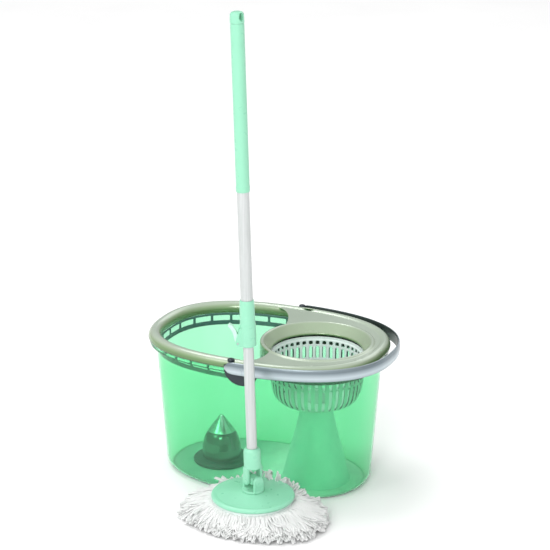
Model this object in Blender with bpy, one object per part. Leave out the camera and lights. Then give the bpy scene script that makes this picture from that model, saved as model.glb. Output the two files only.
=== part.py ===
"""Spin mop set: an oval bucket with a spinning wringer basket, a carrying bail and a wash pivot, and a mop whose
telescopic handle spins its round head. Metres, +Z up, origin on the floor under the middle of the bucket,
+X along the bucket towards the basket."""

from math import cos, pi, radians, sin, tau

import bmesh
import bpy
import numpy as np
from mathutils import Matrix, Vector

for old in list(bpy.data.objects):
    bpy.data.objects.remove(old, do_unlink=True)

# ---------------------------------------------------------------- driving dimensions
GAP = 0.0003  # between pieces that touch

# Oval outlines are superellipses: half length, half width, roundness.
RIM = (0.232, 0.168, 2.46)
FLANGE = (0.229, 0.165, 2.46)
WALL_TOP = (0.2175, 0.1535, 2.46)
WALL_BASE = (0.2025, 0.1335, 2.26)
OVAL_STEPS = 52
TUB_WALL = 0.0025
TUB_CORNER = 0.020
FLANGE_LOW = 0.2567
FLANGE_TOP = 0.2652
RIM_CREST = (0.0115, 0.2825)  # inset and height of the top of the rim's rounded channel
RIM_OUTER_FALL = 0.0150
RIM_INNER_EDGE = (0.0242, 0.2665)
DECK_TOP = 0.2795
DECK_THICK = 0.003
DECK_INSET = 0.0170
LIP_INSET = 0.0175  # the frame's locating lip stands just inside the tub's wall
LIP_LOW = 0.2620
OPENING_INSET = 0.0242

WASH_OPENING = (RIM[0] - OPENING_INSET, RIM[1] - OPENING_INSET, RIM[2])
WASH_CUT_INSET = 0.0160
# Each web between rim and funnel: where its edge leaves the rim, the corner it bends towards, where it meets the
# funnel as an angle, and where the skirt ends.
WEB_BACK = (-0.070, (-0.014, 0.158), radians(32), -0.016)
WEB_FRONT = (-0.015, (0.046, -0.158), radians(56), 0.030)
FUNNEL_X = 0.100
FUNNEL_OUTER = 0.108
FUNNEL_LOW = 0.234
FUNNEL_CREST = 0.2825
FUNNEL_MOUTH = 0.0854
FUNNEL_MOUTH_Z = 0.264
SKIRT_LOW = 0.2380
SKIRT_WALL = 0.0018
WINDOW_PITCH = 0.038
WINDOW_SIZE = (0.0330, 0.0200, 0.0105)
WINDOW_MIDDLE = 0.2520

BASKET_TOP = 0.2575
BASKET_FLOOR = 0.158
BASKET_FLOOR_THICK = 0.0025
BASKET_HUB_HEIGHT = 0.031
BASKET_SLOTS = 40
# Middle height, height and width of each row of holes in the basket's wall.
BASKET_ROWS = ((0.2425, 0.0090, 0.0046), (0.2240, 0.0180, 0.0060), (0.1885, 0.0450, 0.0060))
PEDESTAL_TOP = 0.1555
PEDESTAL_WALL = 0.0025
SPINDLE_RADIUS = 0.004

PIVOT_X = -0.100
PIVOT_BASE_RADIUS = 0.055
PIVOT_PIN_RADIUS = 0.004

BAIL_PIVOT_X = 0.020
BAIL_PIVOT_Z = 0.266
BAIL_INSIDE = (0.2475, 0.1725, 2.40)
BAIL_THICK = 0.003
BAIL_LOW = 0.2580
BAIL_TOP = 0.2820
BAIL_TAIL = 0.030  # the band runs on this far past its pivot
BOSS_HALF = 0.034
BOSS_LOW = 0.2365
BOSS_TOP = 0.2728
BOSS_FACE = 0.1695
BOSS_BACK = 0.1660
BAIL_PIN_RADIUS = 0.003

MOP_X = 0.0700
MOP_Y = -0.2225
PLATE_RADIUS = 0.0765
PLATE_UNDER = 0.0463
PLATE_HUB_TOP = 0.0600
YARN_RADIUS = 0.1385
YARN_FRONT = 0.111  # how far the yarn reaches away from the bucket, from the plate's middle
YARN_BACK = 0.0820  # and towards the bucket

JOINT_Z = 0.082
JOINT_AZIMUTH = radians(-28)
POLE_LEAN = Vector((-0.0304, -0.0135, 1.0)).normalized()
FORK_INNER = 0.013
FORK_OUTER = 0.019
FORK_EAR = 0.010
SOCKET_FORK_INNER = 0.012
SOCKET_FORK_OUTER = 0.017
SOCKET_EAR = 0.0065
JOINT_PIN = 0.003

# Heights along the pole, from the middle of the joint.
SOCKET_BOTTOM = 0.0236
SOCKET_TOP = 0.0625
LOWER_TUBE = (0.031, 0.6043, 0.0095)
COLLAR_BOTTOM = 0.2598
COLLAR_TOP = 0.3463
UPPER_TUBE = (0.2875, 0.8443, 0.0110)
TUBE_WALL = 0.0008
GRIP_BOTTOM = 0.5453
GRIP_TOP = 0.8423
CAP_TOP = 0.8623
ROD = (0.2943, 0.8288)
ROD_WIDTH = 0.0085
ROD_THICK = 0.0022
ROD_LEAD = 0.100
NUT = (0.5923, 0.5983)
LEVER_AZIMUTH = radians(204)
LEVER_PIVOT = (0.0185, 0.2663)  # out from the pole's axis, and along it
PIECE_STEPS = 24


# ---------------------------------------------------------------- materials
def linear(code):
    """A colour written as six hexadecimal digits, as linear light."""
    parts = [int(code[i : i + 2], 16) / 255 for i in (0, 2, 4)]
    return [p / 12.92 if p < 0.04045 else ((p + 0.055) / 1.055) ** 2.4 for p in parts] + [1.0]


def material(name, code, roughness, metallic=0.0, alpha=1.0):
    made = bpy.data.materials.new(name)
    made.use_nodes = True
    shader = made.node_tree.nodes["Principled BSDF"]
    shader.inputs["Base Color"].default_value = linear(code)
    shader.inputs["Roughness"].default_value = roughness
    shader.inputs["Metallic"].default_value = metallic
    shader.inputs["Alpha"].default_value = alpha
    return made


CLEAR_GREEN = material("clear_green_plastic", "8AF2B5", 0.15, alpha=0.45)
KHAKI = material("khaki_plastic", "A3AE93", 0.4)
DARK = material("dark_plastic", "3C4A40", 0.45)
SILVER = material("silver_plastic", "8E9AA0", 0.3, metallic=0.3)
WHITE = material("white_plastic", "EEF4EF", 0.4)
CLEAR_WHITE = material("milky_plastic", "CFEFDD", 0.3, alpha=0.6)
MINT = material("mint_plastic", "9BEEC9", 0.35)
STEEL = material("steel_tube", "B9BDC4", 0.25, metallic=1.0)
CHROME = material("chrome", "9FB3AC", 0.12, metallic=1.0)
YARN = material("white_yarn", "F2F3F1", 0.9)
NYLON = material("nylon", "E6E4DA", 0.5)


# ---------------------------------------------------------------- building blocks
def add_mesh(name, bm, look, parent=None, sharp=radians(35)):
    """Closes off a bmesh as an object of its own, its faces pointing out."""
    bmesh.ops.recalc_face_normals(bm, faces=bm.faces)
    mesh = bpy.data.meshes.new(name)
    bm.to_mesh(mesh)
    bm.free()
    mesh.materials.append(look)
    mesh.shade_smooth()
    mesh.set_sharp_from_angle(angle=sharp)
    obj = bpy.data.objects.new(name, mesh)
    bpy.context.scene.collection.objects.link(obj)
    obj.parent = parent
    return obj


def turned(name, profile, look, parent=None, at=(0, 0, 0), steps=PIECE_STEPS, ring=True):
    """Spins a profile of (radius, height) points about its own upright axis. A ring's last point joins its first."""
    bm = bmesh.new()
    points = [bm.verts.new((radius, 0, height)) for radius, height in profile]
    pairs = list(zip(points, points[1:] + points[:1])) if ring else list(zip(points, points[1:]))
    edges = [bm.edges.new(pair) for pair in pairs]
    bmesh.ops.spin(
        bm, geom=points + edges, cent=(0, 0, 0), axis=(0, 0, 1), angle=tau, steps=steps, use_merge=True
    )
    bmesh.ops.remove_doubles(bm, verts=bm.verts, dist=1e-6)
    obj = add_mesh(name, bm, look, parent)
    obj.location = at
    return obj


def lofted(name, rings, look, parent=None, closed=False):
    """Skins a list of rings of points. The first and last ring are capped, or joined where the loft is closed."""
    bm = bmesh.new()
    rows = [[bm.verts.new(point) for point in ring] for ring in rings]
    count = len(rows[0])
    pairs = list(zip(rows, rows[1:] + rows[:1])) if closed else list(zip(rows, rows[1:]))
    for low, high in pairs:
        for i in range(count):
            bm.faces.new((low[i], low[(i + 1) % count], high[(i + 1) % count], high[i]))
    if not closed:
        bm.faces.new(rows[0][::-1])
        bm.faces.new(rows[-1])
    return add_mesh(name, bm, look, parent)


def prism(name, outline, low, high, look, parent=None):
    """Extrudes a flat outline of (x, y) points from one height to another."""
    return lofted(name, [[(x, y, z) for x, y in outline] for z in (low, high)], look, parent)


def rod(name, radius, start, end, look, parent=None, steps=PIECE_STEPS):
    """A round bar between two points."""
    start, end = Vector(start), Vector(end)
    bm = bmesh.new()
    bmesh.ops.create_cone(
        bm, cap_ends=True, segments=steps, radius1=radius, radius2=radius, depth=(end - start).length
    )
    turn = (end - start).to_track_quat("Z", "Y").to_matrix().to_4x4()
    bmesh.ops.transform(bm, matrix=Matrix.Translation((start + end) / 2) @ turn, verts=bm.verts)
    return add_mesh(name, bm, look, parent)


def block(name, low, high, look, parent=None):
    """A box between two opposite corners."""
    low, high = Vector(low), Vector(high)
    bm = bmesh.new()
    bmesh.ops.create_cube(bm, size=1)
    size = Matrix.Diagonal((*(high - low), 1))
    bmesh.ops.transform(bm, matrix=Matrix.Translation((low + high) / 2) @ size, verts=bm.verts)
    return add_mesh(name, bm, look, parent)


def combine(obj, tool, operation):
    """Joins a tool to an object, or cuts it away, and keeps the tool as a hidden helper."""
    tool.hide_render = True
    tool.display_type = "WIRE"
    modifier = obj.modifiers.new(tool.name, "BOOLEAN")
    modifier.operation = operation
    modifier.object = tool
    modifier.solver = "EXACT"


def cut(obj, tool):
    combine(obj, tool, "DIFFERENCE")


def join(obj, tool):
    combine(obj, tool, "UNION")


def soften(obj, width, segments=2):
    """Rounds the object's sharp edges."""
    modifier = obj.modifiers.new("rounding", "BEVEL")
    modifier.width = width
    modifier.segments = segments
    modifier.limit_method = "ANGLE"
    modifier.angle_limit = radians(40)


def empty(name, at, parent=None, turn=None):
    """A frame that pieces hang from, such as a joint's axis."""
    obj = bpy.data.objects.new(name, None)
    bpy.context.scene.collection.objects.link(obj)
    obj.parent = parent
    obj.matrix_local = Matrix.Translation(at) @ (turn.to_4x4() if turn else Matrix.Identity(4))
    return obj


# ---------------------------------------------------------------- oval outlines
def oval(shape, inset=0.0, steps=OVAL_STEPS):
    """(x, y) points round a superellipse, drawn in by an inset."""
    length, width, power = shape
    angles = np.arange(steps) * tau / steps
    c, s = np.cos(angles), np.sin(angles)
    x = (length - inset) * np.sign(c) * np.abs(c) ** (2 / power)
    y = (width - inset) * np.sign(s) * np.abs(s) ** (2 / power)
    return list(zip(x, y))


def oval_ring(shape, z, inset=0.0):
    return [(x, y, z) for x, y in oval(shape, inset)]


def blended(low, high, share):
    return tuple(a + (b - a) * share for a, b in zip(low, high))


def oval_half_width(shape, x):
    length, width, power = shape
    return width * (1 - abs(x / length) ** power) ** (1 / power)


def oval_arc(shape, back_end, front_end, steps):
    """Points along a superellipse's left side, from one x on its back edge round to another on its front edge."""
    length, width, power = shape
    start = np.arccos(np.sign(back_end) * abs(back_end / length) ** (power / 2))
    end = tau - np.arccos(np.sign(front_end) * abs(front_end / length) ** (power / 2))
    angles = np.linspace(start, end, steps)
    c, s = np.cos(angles), np.sin(angles)
    x = length * np.sign(c) * np.abs(c) ** (2 / power)
    y = width * np.sign(s) * np.abs(s) ** (2 / power)
    return list(zip(x, y))


def web_edge(shape, web, side):
    """The curved edge of the web at the back (side 1) or the front (side -1), from the rim to the funnel."""
    leave, corner, meet, _ = web
    start = Vector((leave, side * oval_half_width(shape, leave)))
    end = Vector((FUNNEL_X - FUNNEL_OUTER * cos(meet), side * FUNNEL_OUTER * sin(meet)))
    return [
        tuple(start * (1 - t) ** 2 + Vector(corner) * 2 * t * (1 - t) + end * t * t) for t in np.linspace(0, 1, 9)
    ]


def wash_outline():
    """The wash opening: oval on the left, hollowed by the funnel on the right, with a web at either end."""
    cut_line = (RIM[0] - WASH_CUT_INSET, RIM[1] - WASH_CUT_INSET, RIM[2])
    hollow = [
        (FUNNEL_X + FUNNEL_OUTER * cos(a), FUNNEL_OUTER * sin(a))
        for a in np.linspace(pi + WEB_FRONT[2], pi - WEB_BACK[2], 13)
    ]
    front = web_edge(cut_line, WEB_FRONT, -1)
    back = web_edge(cut_line, WEB_BACK, 1)[::-1]
    return oval_arc(cut_line, WEB_BACK[0], WEB_FRONT[0], 25) + front[1:-1] + hollow + back[1:-1]


# ---------------------------------------------------------------- bucket
def make_tub():
    def wall(z, inset):
        return oval_ring(blended(WALL_BASE, WALL_TOP, z / FLANGE_LOW), z, inset)

    corner_turns = [radians(a) for a in (0, 30, 60, 90)]
    rings = [wall(TUB_CORNER * (1 - cos(a)), TUB_CORNER * (1 - sin(a))) for a in corner_turns]
    rings += [wall(0.14, 0), wall(FLANGE_LOW, 0)]
    rings += [oval_ring(FLANGE, FLANGE_LOW), oval_ring(FLANGE, FLANGE_TOP)]
    rings += [wall(FLANGE_TOP, TUB_WALL), wall(0.14, TUB_WALL)]
    inner_corner = TUB_CORNER - TUB_WALL
    rings += [
        wall(TUB_WALL + inner_corner * (1 - cos(a)), TUB_WALL + inner_corner * (1 - sin(a)))
        for a in reversed(corner_turns)
    ]
    return lofted("bucket_tub", rings, CLEAR_GREEN)


def make_rim_frame():
    """The rounded channel over the tub's flange, with the deck and the funnel round the basket joined to it."""
    low = FLANGE_TOP + GAP
    inset, crest = RIM_CREST
    outer = [(inset * (1 - sin(a)), crest - RIM_OUTER_FALL * (1 - cos(a))) for a in np.radians((90, 68, 45, 22, 0))]
    reach, fall = RIM_INNER_EDGE[0] - inset, crest - RIM_INNER_EDGE[1]
    inner = [(inset + reach * sin(a), crest - fall * (1 - cos(a))) for a in np.radians((25, 50, 70, 90))]
    lip = [(RIM_INNER_EDGE[0], LIP_LOW), (LIP_INSET, LIP_LOW), (LIP_INSET, low), (0.0160, low)]
    hollow = [(0.0160, 0.2740), (inset, crest - 0.0030), (0.0060, 0.2765), (0.0042, 0.2710), (0.0042, low)]
    section = outer + inner + lip + hollow + [(0.0015, low)]
    frame = lofted("rim_frame", [oval_ring(RIM, z, inset) for inset, z in section], KHAKI, closed=True)
    plate = prism("deck_tool", oval(RIM, DECK_INSET), DECK_TOP - DECK_THICK, DECK_TOP, KHAKI)
    funnel_hole = turned(
        "funnel_hole_cutter",
        [(0, 0.2), (0.104, 0.2), (0.104, 0.3), (0, 0.3)],
        KHAKI,
        at=(FUNNEL_X, 0, 0),
        steps=40,
        ring=False,
    )
    roll = [(0.004 * cos(a), 0.004 * sin(a)) for a in np.radians((0, 45, 90, 135))]
    roll_at = (FUNNEL_OUTER - 0.004, FUNNEL_CREST - 0.004)
    profile = [(FUNNEL_OUTER, FUNNEL_LOW)]
    profile += [(roll_at[0] + r, roll_at[1] + z) for r, z in roll]
    profile += [
        (FUNNEL_MOUTH + 0.001, FUNNEL_MOUTH_Z + 0.0005),
        (FUNNEL_MOUTH, FUNNEL_MOUTH_Z - 0.001),
        (FUNNEL_MOUTH, FUNNEL_MOUTH_Z - 0.004),
        (FUNNEL_MOUTH + 0.003, FUNNEL_MOUTH_Z - 0.004),
        (FUNNEL_OUTER - 0.0035, FUNNEL_CREST - 0.0075),
        (FUNNEL_OUTER - 0.0030, FUNNEL_LOW),
    ]
    funnel = turned("funnel_ring_tool", profile, KHAKI, at=(FUNNEL_X, 0, 0), steps=40)
    opening = prism("wash_opening_cutter", wash_outline(), 0.2, 0.3, KHAKI)
    cut(plate, funnel_hole)
    join(plate, funnel)
    cut(plate, opening)
    join(frame, plate)
    for side in (-1, 1):
        ends = sorted((side * (BOSS_BACK - GAP), side * 0.2))
        notch = block(
            f"boss_notch_{'front' if side < 0 else 'back'}_cutter",
            (BAIL_PIVOT_X - BOSS_HALF - GAP, ends[0], 0.25),
            (BAIL_PIVOT_X + BOSS_HALF + GAP, ends[1], BOSS_TOP + GAP),
            KHAKI,
        )
        cut(frame, notch)
    return frame


def make_splash_skirt():
    """The dark collar that hangs round the wash opening, with a row of windows in it."""
    top = LIP_LOW - GAP

    def path(outset):
        shape = (WASH_OPENING[0] + outset, WASH_OPENING[1] + outset, WASH_OPENING[2])
        return oval_arc(shape, WEB_BACK[3], WEB_FRONT[3], 41)

    near, far = path(0), path(SKIRT_WALL)
    rings = [
        [(*inside, SKIRT_LOW), (*outside, SKIRT_LOW), (*outside, top), (*inside, top)]
        for inside, outside in zip(near, far)
    ]
    skirt = lofted("splash_skirt", rings, DARK)
    line = [Vector(point) for point in near]
    lengths = np.concatenate(([0], np.cumsum([(b - a).length for a, b in zip(line, line[1:])])))
    cutters = bmesh.new()
    for along in np.arange(0.75 * WINDOW_PITCH, lengths[-1] - 0.5 * WINDOW_PITCH, WINDOW_PITCH):
        k = int(np.searchsorted(lengths, along))
        run = line[k] - line[k - 1]
        at = line[k - 1] + run * (along - lengths[k - 1]) / (lengths[k] - lengths[k - 1])
        place = Matrix.Translation((*at, WINDOW_MIDDLE)) @ Matrix.Rotation(np.arctan2(run.y, run.x), 4, "Z")
        bmesh.ops.create_cube(cutters, size=1, matrix=place @ Matrix.Diagonal((*WINDOW_SIZE, 1)))
    cut(skirt, add_mesh("skirt_window_cutter", cutters, DARK))
    return skirt


def make_hinge_boss(side):
    """The D-shaped bracket that a bail pin turns in."""
    name = "hinge_boss_front" if side < 0 else "hinge_boss_back"
    bm = bmesh.new()
    drop = BAIL_PIVOT_Z - BOSS_LOW
    turns = np.linspace(pi, tau, 17)
    outline = [(BOSS_HALF * cos(a), BAIL_PIVOT_Z + drop * sin(a)) for a in turns]
    outline += [(BOSS_HALF, BOSS_TOP), (-BOSS_HALF, BOSS_TOP)]
    faces = []
    for y in (side * BOSS_BACK, side * BOSS_FACE):
        faces.append([bm.verts.new((BAIL_PIVOT_X + x, y, z)) for x, z in outline])
    count = len(outline)
    for i in range(count):
        bm.faces.new((faces[0][i], faces[0][(i + 1) % count], faces[1][(i + 1) % count], faces[1][i]))
    bm.faces.new(faces[0])
    bm.faces.new(faces[1])
    boss = add_mesh(name, bm, DARK)
    hole = rod(
        f"{name}_hole_cutter",
        BAIL_PIN_RADIUS + GAP,
        (BAIL_PIVOT_X, side * 0.15, BAIL_PIVOT_Z),
        (BAIL_PIVOT_X, side * 0.19, BAIL_PIVOT_Z),
        DARK,
        steps=24,
    )
    cut(boss, hole)
    return boss


def make_pedestal():
    low = TUB_WALL + GAP
    outside = [(0.066, low), (0.0625, 0.012), (0.0510, 0.060), (0.0393, 0.105), (0.0330, 0.134), (0.0305, 0.1500)]
    profile = outside + [
        (0.029, PEDESTAL_TOP),
        (SPINDLE_RADIUS + GAP, PEDESTAL_TOP),
        (SPINDLE_RADIUS + GAP, PEDESTAL_TOP - 0.010),
        (0.026, PEDESTAL_TOP - 0.010),
    ]
    profile += [(r - PEDESTAL_WALL, z) for r, z in reversed(outside[:-1])]
    return turned("pedestal_cone", profile, CLEAR_WHITE, at=(FUNNEL_X, 0, 0))


def make_spindle():
    """The fixed steel axle that the basket turns on, with a washer face under its shoulder."""
    root, tip = PEDESTAL_TOP - 0.0155, PEDESTAL_TOP + 0.0295
    profile = [
        (0, root),
        (SPINDLE_RADIUS, root),
        (SPINDLE_RADIUS, PEDESTAL_TOP + GAP),
        (0.007, PEDESTAL_TOP + GAP),
        (0.007, PEDESTAL_TOP + 0.0016),
        (SPINDLE_RADIUS, PEDESTAL_TOP + 0.0016),
        (SPINDLE_RADIUS, tip - 0.001),
        (SPINDLE_RADIUS - 0.001, tip),
        (0, tip),
    ]
    return turned("basket_spindle", profile, STEEL, at=(FUNNEL_X, 0, 0), steps=24, ring=False)


# ---------------------------------------------------------------- basket
def make_basket():
    """A flat-floored bowl with a lip, a row of small holes under the lip and two rows of slots."""
    floor = BASKET_FLOOR
    outside = [
        (0.0480, floor),
        (0.0620, floor + 0.0020),
        (0.0700, floor + 0.0060),
        (0.0770, floor + 0.0120),
        (0.0825, floor + 0.0220),
        (0.0855, 0.2000),
        (0.0865, 0.2500),
        (0.0885, 0.2530),
        (0.0885, BASKET_TOP),
    ]
    inside = [
        (0.0838, BASKET_TOP),
        (0.0838, 0.2500),
        (0.0833, 0.2000),
        (0.0803, floor + 0.0230),
        (0.0755, floor + 0.0140),
        (0.0688, floor + 0.0082),
        (0.0614, floor + 0.0044),
        (0.0475, floor + BASKET_FLOOR_THICK),
    ]
    hub_hole = 0.0110
    profile = [(hub_hole, floor)] + outside + inside + [(hub_hole, floor + BASKET_FLOOR_THICK)]
    basket = turned("spin_basket", profile, WHITE, at=(FUNNEL_X, 0, 0), steps=BASKET_SLOTS)
    cutters = bmesh.new()
    for i in range(BASKET_SLOTS):
        spin = Matrix.Translation((FUNNEL_X, 0, 0)) @ Matrix.Rotation((i + 0.5) * tau / BASKET_SLOTS, 4, "Z")
        for middle, height, width in BASKET_ROWS:
            place = Matrix.Translation((0.080, 0, middle)) @ Matrix.Diagonal((0.030, width, height, 1))
            bmesh.ops.create_cube(cutters, size=1, matrix=spin @ place)
    cut(basket, add_mesh("basket_slot_cutter", cutters, WHITE))
    return basket


def make_basket_hub():
    """The pillar in the middle of the basket that the mop head sits on."""
    floor = BASKET_FLOOR + BASKET_FLOOR_THICK + GAP
    top = floor + BASKET_HUB_HEIGHT
    profile = [
        (0.0065, floor),
        (0.0200, floor),
        (0.0190, floor + 0.0040),
        (0.0120, top - 0.0010),
        (0.0100, top),
        (0.0065, top),
    ]
    return turned("basket_hub", profile, WHITE, at=(FUNNEL_X, 0, 0))


def make_spindle_bush():
    low, flange, top = BASKET_FLOOR + 0.0005, BASKET_FLOOR + 0.0025, BASKET_FLOOR + 0.0240
    profile = [
        (SPINDLE_RADIUS + 0.0002, low),
        (0.0105, low),
        (0.0105, flange),
        (0.0062, flange),
        (0.0062, top),
        (SPINDLE_RADIUS + 0.0002, top),
    ]
    return turned("spindle_bush", profile, NYLON, at=(FUNNEL_X, 0, 0), steps=24)


def make_hub_cap():
    floor = BASKET_FLOOR + BASKET_FLOOR_THICK + BASKET_HUB_HEIGHT + 2 * GAP
    profile = [(0, floor), (0.0098, floor), (0.0098, floor + 0.003), (0.006, floor + 0.0065), (0, floor + 0.0075)]
    return turned("hub_cap", profile, WHITE, at=(FUNNEL_X, 0, 0), ring=False)


# ---------------------------------------------------------------- wash pivot
def make_wash_pivot():
    """The swivelling cone on the bucket's floor that the mop head is pressed on and spun in the water."""
    low = TUB_WALL + GAP
    base = [
        (PIVOT_PIN_RADIUS + GAP, low),
        (PIVOT_BASE_RADIUS, low),
        (PIVOT_BASE_RADIUS, 0.0070),
        (PIVOT_BASE_RADIUS - 0.004, 0.0100),
        (0.0400, 0.0110),
        (0.0100, 0.0110),
        (0.0090, 0.0400),
        (PIVOT_PIN_RADIUS + GAP, 0.0400),
    ]
    turned("wash_pivot_base", base, DARK, at=(PIVOT_X, 0, 0))
    pin = [(0, low + 0.001), (PIVOT_PIN_RADIUS, low + 0.001), (PIVOT_PIN_RADIUS, 0.0530), (0, 0.0540)]
    turned("wash_pivot_pin", pin, STEEL, at=(PIVOT_X, 0, 0), steps=24, ring=False)
    dome = [
        (0.0365, 0.0120),
        (0.0375, 0.0200),
        (0.0370, 0.0340),
        (0.0345, 0.0470),
        (0.0300, 0.0580),
        (0.0258, 0.0645),
        (PIVOT_PIN_RADIUS + GAP, 0.0645),
        (PIVOT_PIN_RADIUS + GAP, 0.0430),
        (0.0120, 0.0430),
        (0.0130, 0.0560),
        (0.0230, 0.0600),
        (0.0320, 0.0460),
        (0.0345, 0.0340),
        (0.0350, 0.0120),
    ]
    turned("wash_pivot_dome", dome, CHROME, at=(PIVOT_X, 0, 0))
    cone = [(0, 0.0645 + GAP), (0.0262, 0.0645 + GAP), (0.0268, 0.0662), (0.0035, 0.0960), (0, 0.0970)]
    turned("wash_pivot_cone", cone, CHROME, at=(PIVOT_X, 0, 0), ring=False)


# ---------------------------------------------------------------- bail
def make_bail():
    """The carrying band, which lies round the basket's end of the rim."""
    axis = empty("bail_axis", (BAIL_PIVOT_X, 0, BAIL_PIVOT_Z))
    length, width, power = BAIL_INSIDE
    steps = 40
    last = pi - np.arccos(((BAIL_TAIL - BAIL_PIVOT_X) / length) ** (power / 2))
    rings = []
    for angle in np.linspace(-last, last, steps + 1):
        c, s = cos(angle), sin(angle)
        x = length * np.sign(c) * abs(c) ** (2 / power)
        y = width * np.sign(s) * abs(s) ** (2 / power)
        slope = Vector(
            (np.sign(c) * abs(x / length) ** (power - 1) / length, np.sign(s) * abs(y / width) ** (power - 1) / width)
        ).normalized()
        share = min(1.0, (x - (BAIL_PIVOT_X - BAIL_TAIL)) / 0.020)
        half = (BAIL_TOP - BAIL_LOW) / 2 * (0.62 + 0.38 * sin(share * pi / 2))
        middle = (BAIL_TOP + BAIL_LOW) / 2
        near, far = Vector((x, y)), Vector((x, y)) + slope * BAIL_THICK
        rings.append(
            [
                (near.x, near.y, middle - half),
                (far.x, far.y, middle - half),
                (far.x, far.y, middle + half),
                (near.x, near.y, middle + half),
            ]
        )
    offset = Vector((BAIL_PIVOT_X, 0, BAIL_PIVOT_Z))
    band = lofted("bail_handle", [[Vector(p) - offset for p in ring] for ring in rings], SILVER, axis)
    for side in (-1, 1):
        hole = rod(
            f"bail_hole_{'front' if side < 0 else 'back'}_cutter",
            BAIL_PIN_RADIUS + GAP,
            (0, side * 0.16, 0),
            (0, side * 0.19, 0),
            SILVER,
            axis,
            steps=24,
        )
        cut(band, hole)
    for side, name in ((-1, "bail_pin_front"), (1, "bail_pin_back")):
        head = BAIL_INSIDE[1] + BAIL_THICK + GAP
        profile = [
            (0, BOSS_BACK),
            (BAIL_PIN_RADIUS, BOSS_BACK),
            (BAIL_PIN_RADIUS, head),
            (0.0062, head),
            (0.0056, head + 0.0012),
            (0, head + 0.0018),
        ]
        pin = turned(name, profile, DARK, axis, steps=24, ring=False)
        pin.rotation_euler = (radians(-90 * side), 0, 0)


# ---------------------------------------------------------------- mop head
def make_mop_head():
    foot = empty("mop_foot", (MOP_X, MOP_Y, 0))
    plate = [
        (0, PLATE_UNDER),
        (PLATE_RADIUS - 0.0030, PLATE_UNDER),
        (PLATE_RADIUS - 0.0008, PLATE_UNDER + 0.0015),
        (PLATE_RADIUS, PLATE_UNDER + 0.0045),
        (PLATE_RADIUS - 0.0010, PLATE_UNDER + 0.0075),
        (PLATE_RADIUS - 0.0040, PLATE_UNDER + 0.0090),
        (PLATE_RADIUS - 0.0070, PLATE_UNDER + 0.0085),
        (0.040, PLATE_HUB_TOP - 0.0030),
        (0.024, PLATE_HUB_TOP),
        (0, PLATE_HUB_TOP),
    ]
    turned("mop_plate", plate, MINT, foot, steps=40, ring=False)
    ring_low, ring_top = PLATE_UNDER - 0.0063, PLATE_UNDER - GAP
    outer = PLATE_RADIUS - 0.0025
    refill = [(0.050, ring_low), (outer, ring_low), (outer, ring_top), (0.050, ring_top)]
    turned("refill_ring", refill, WHITE, foot)

    def yarn_ring(inset, z):
        points = []
        for angle in np.arange(40) * tau / 40:
            x = (YARN_RADIUS - inset) * cos(angle)
            reach = YARN_FRONT if sin(angle) < 0 else YARN_RADIUS
            y = (reach - inset) * sin(angle)
            over = max(0.0, y / (YARN_BACK - inset))
            points.append((x, y / (1 + over**8) ** (1 / 8), z))
        return points

    def round_ring(radius, z):
        return [(radius * cos(a), radius * sin(a), z) for a in np.arange(40) * tau / 40]

    rings = [
        yarn_ring(0.004, 0),
        yarn_ring(0, 0.009),
        yarn_ring(0.001, 0.022),
        yarn_ring(0.004, 0.036),
        round_ring(PLATE_RADIUS + 0.0025, 0.0425),
        round_ring(PLATE_RADIUS - 0.0010, ring_low - GAP),
    ]
    lofted("mop_yarn", rings, YARN, foot)
    return foot


def fork_ear(name, inner, outer, radius, length, parent, sign, look):
    """A plate across the parent's X axis, round at the parent's origin and running down its Z by a length."""
    bm = bmesh.new()
    turns = np.linspace(0, pi, 17)
    outline = [(radius * cos(a), radius * sin(a)) for a in turns]
    outline += [(-radius, -length), (radius, -length)]
    count = len(outline)
    sides = [[bm.verts.new((sign * x, y, z)) for y, z in outline] for x in (inner, outer)]
    for i in range(count):
        bm.faces.new((sides[0][i], sides[0][(i + 1) % count], sides[1][(i + 1) % count], sides[1][i]))
    bm.faces.new(sides[0])
    bm.faces.new(sides[1])
    return add_mesh(name, bm, look, parent)


def joint_frames():
    """The two crossed axes of the joint under the pole, and the pole's own frame."""
    first = Vector((cos(JOINT_AZIMUTH), sin(JOINT_AZIMUTH), 0))
    second = POLE_LEAN.cross(first).normalized()
    centre = (MOP_X, MOP_Y, JOINT_Z)
    upright = Matrix((first, Vector((0, 0, 1)).cross(first), Vector((0, 0, 1)))).transposed()
    crossed = Matrix((first, second, first.cross(second))).transposed()
    leaning = Matrix((second.cross(POLE_LEAN), second, POLE_LEAN)).transposed()
    return (
        empty("fork_frame", centre, turn=upright),
        empty("cross_frame", centre, turn=crossed),
        empty("pole_frame", centre, turn=leaning),
    )


def make_lower_fork(frame):
    base_low = PLATE_HUB_TOP + GAP - JOINT_Z
    base_top = base_low + 0.0040
    fork = turned(
        "plate_fork",
        [(0, base_low), (0.0205, base_low), (0.0205, base_top - 0.001), (0.0195, base_top), (0, base_top)],
        MINT,
        frame,
        ring=False,
    )
    for sign, side in ((-1, "rear"), (1, "front")):
        length = -base_top + 0.002
        join(fork, fork_ear(f"plate_ear_{side}_tool", FORK_INNER, FORK_OUTER, FORK_EAR, length, frame, sign, MINT))
    reach = FORK_OUTER + 0.01
    bore = rod("plate_fork_bore_cutter", JOINT_PIN + GAP, (-reach, 0, 0), (reach, 0, 0), MINT, frame, steps=24)
    cut(fork, bore)


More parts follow.
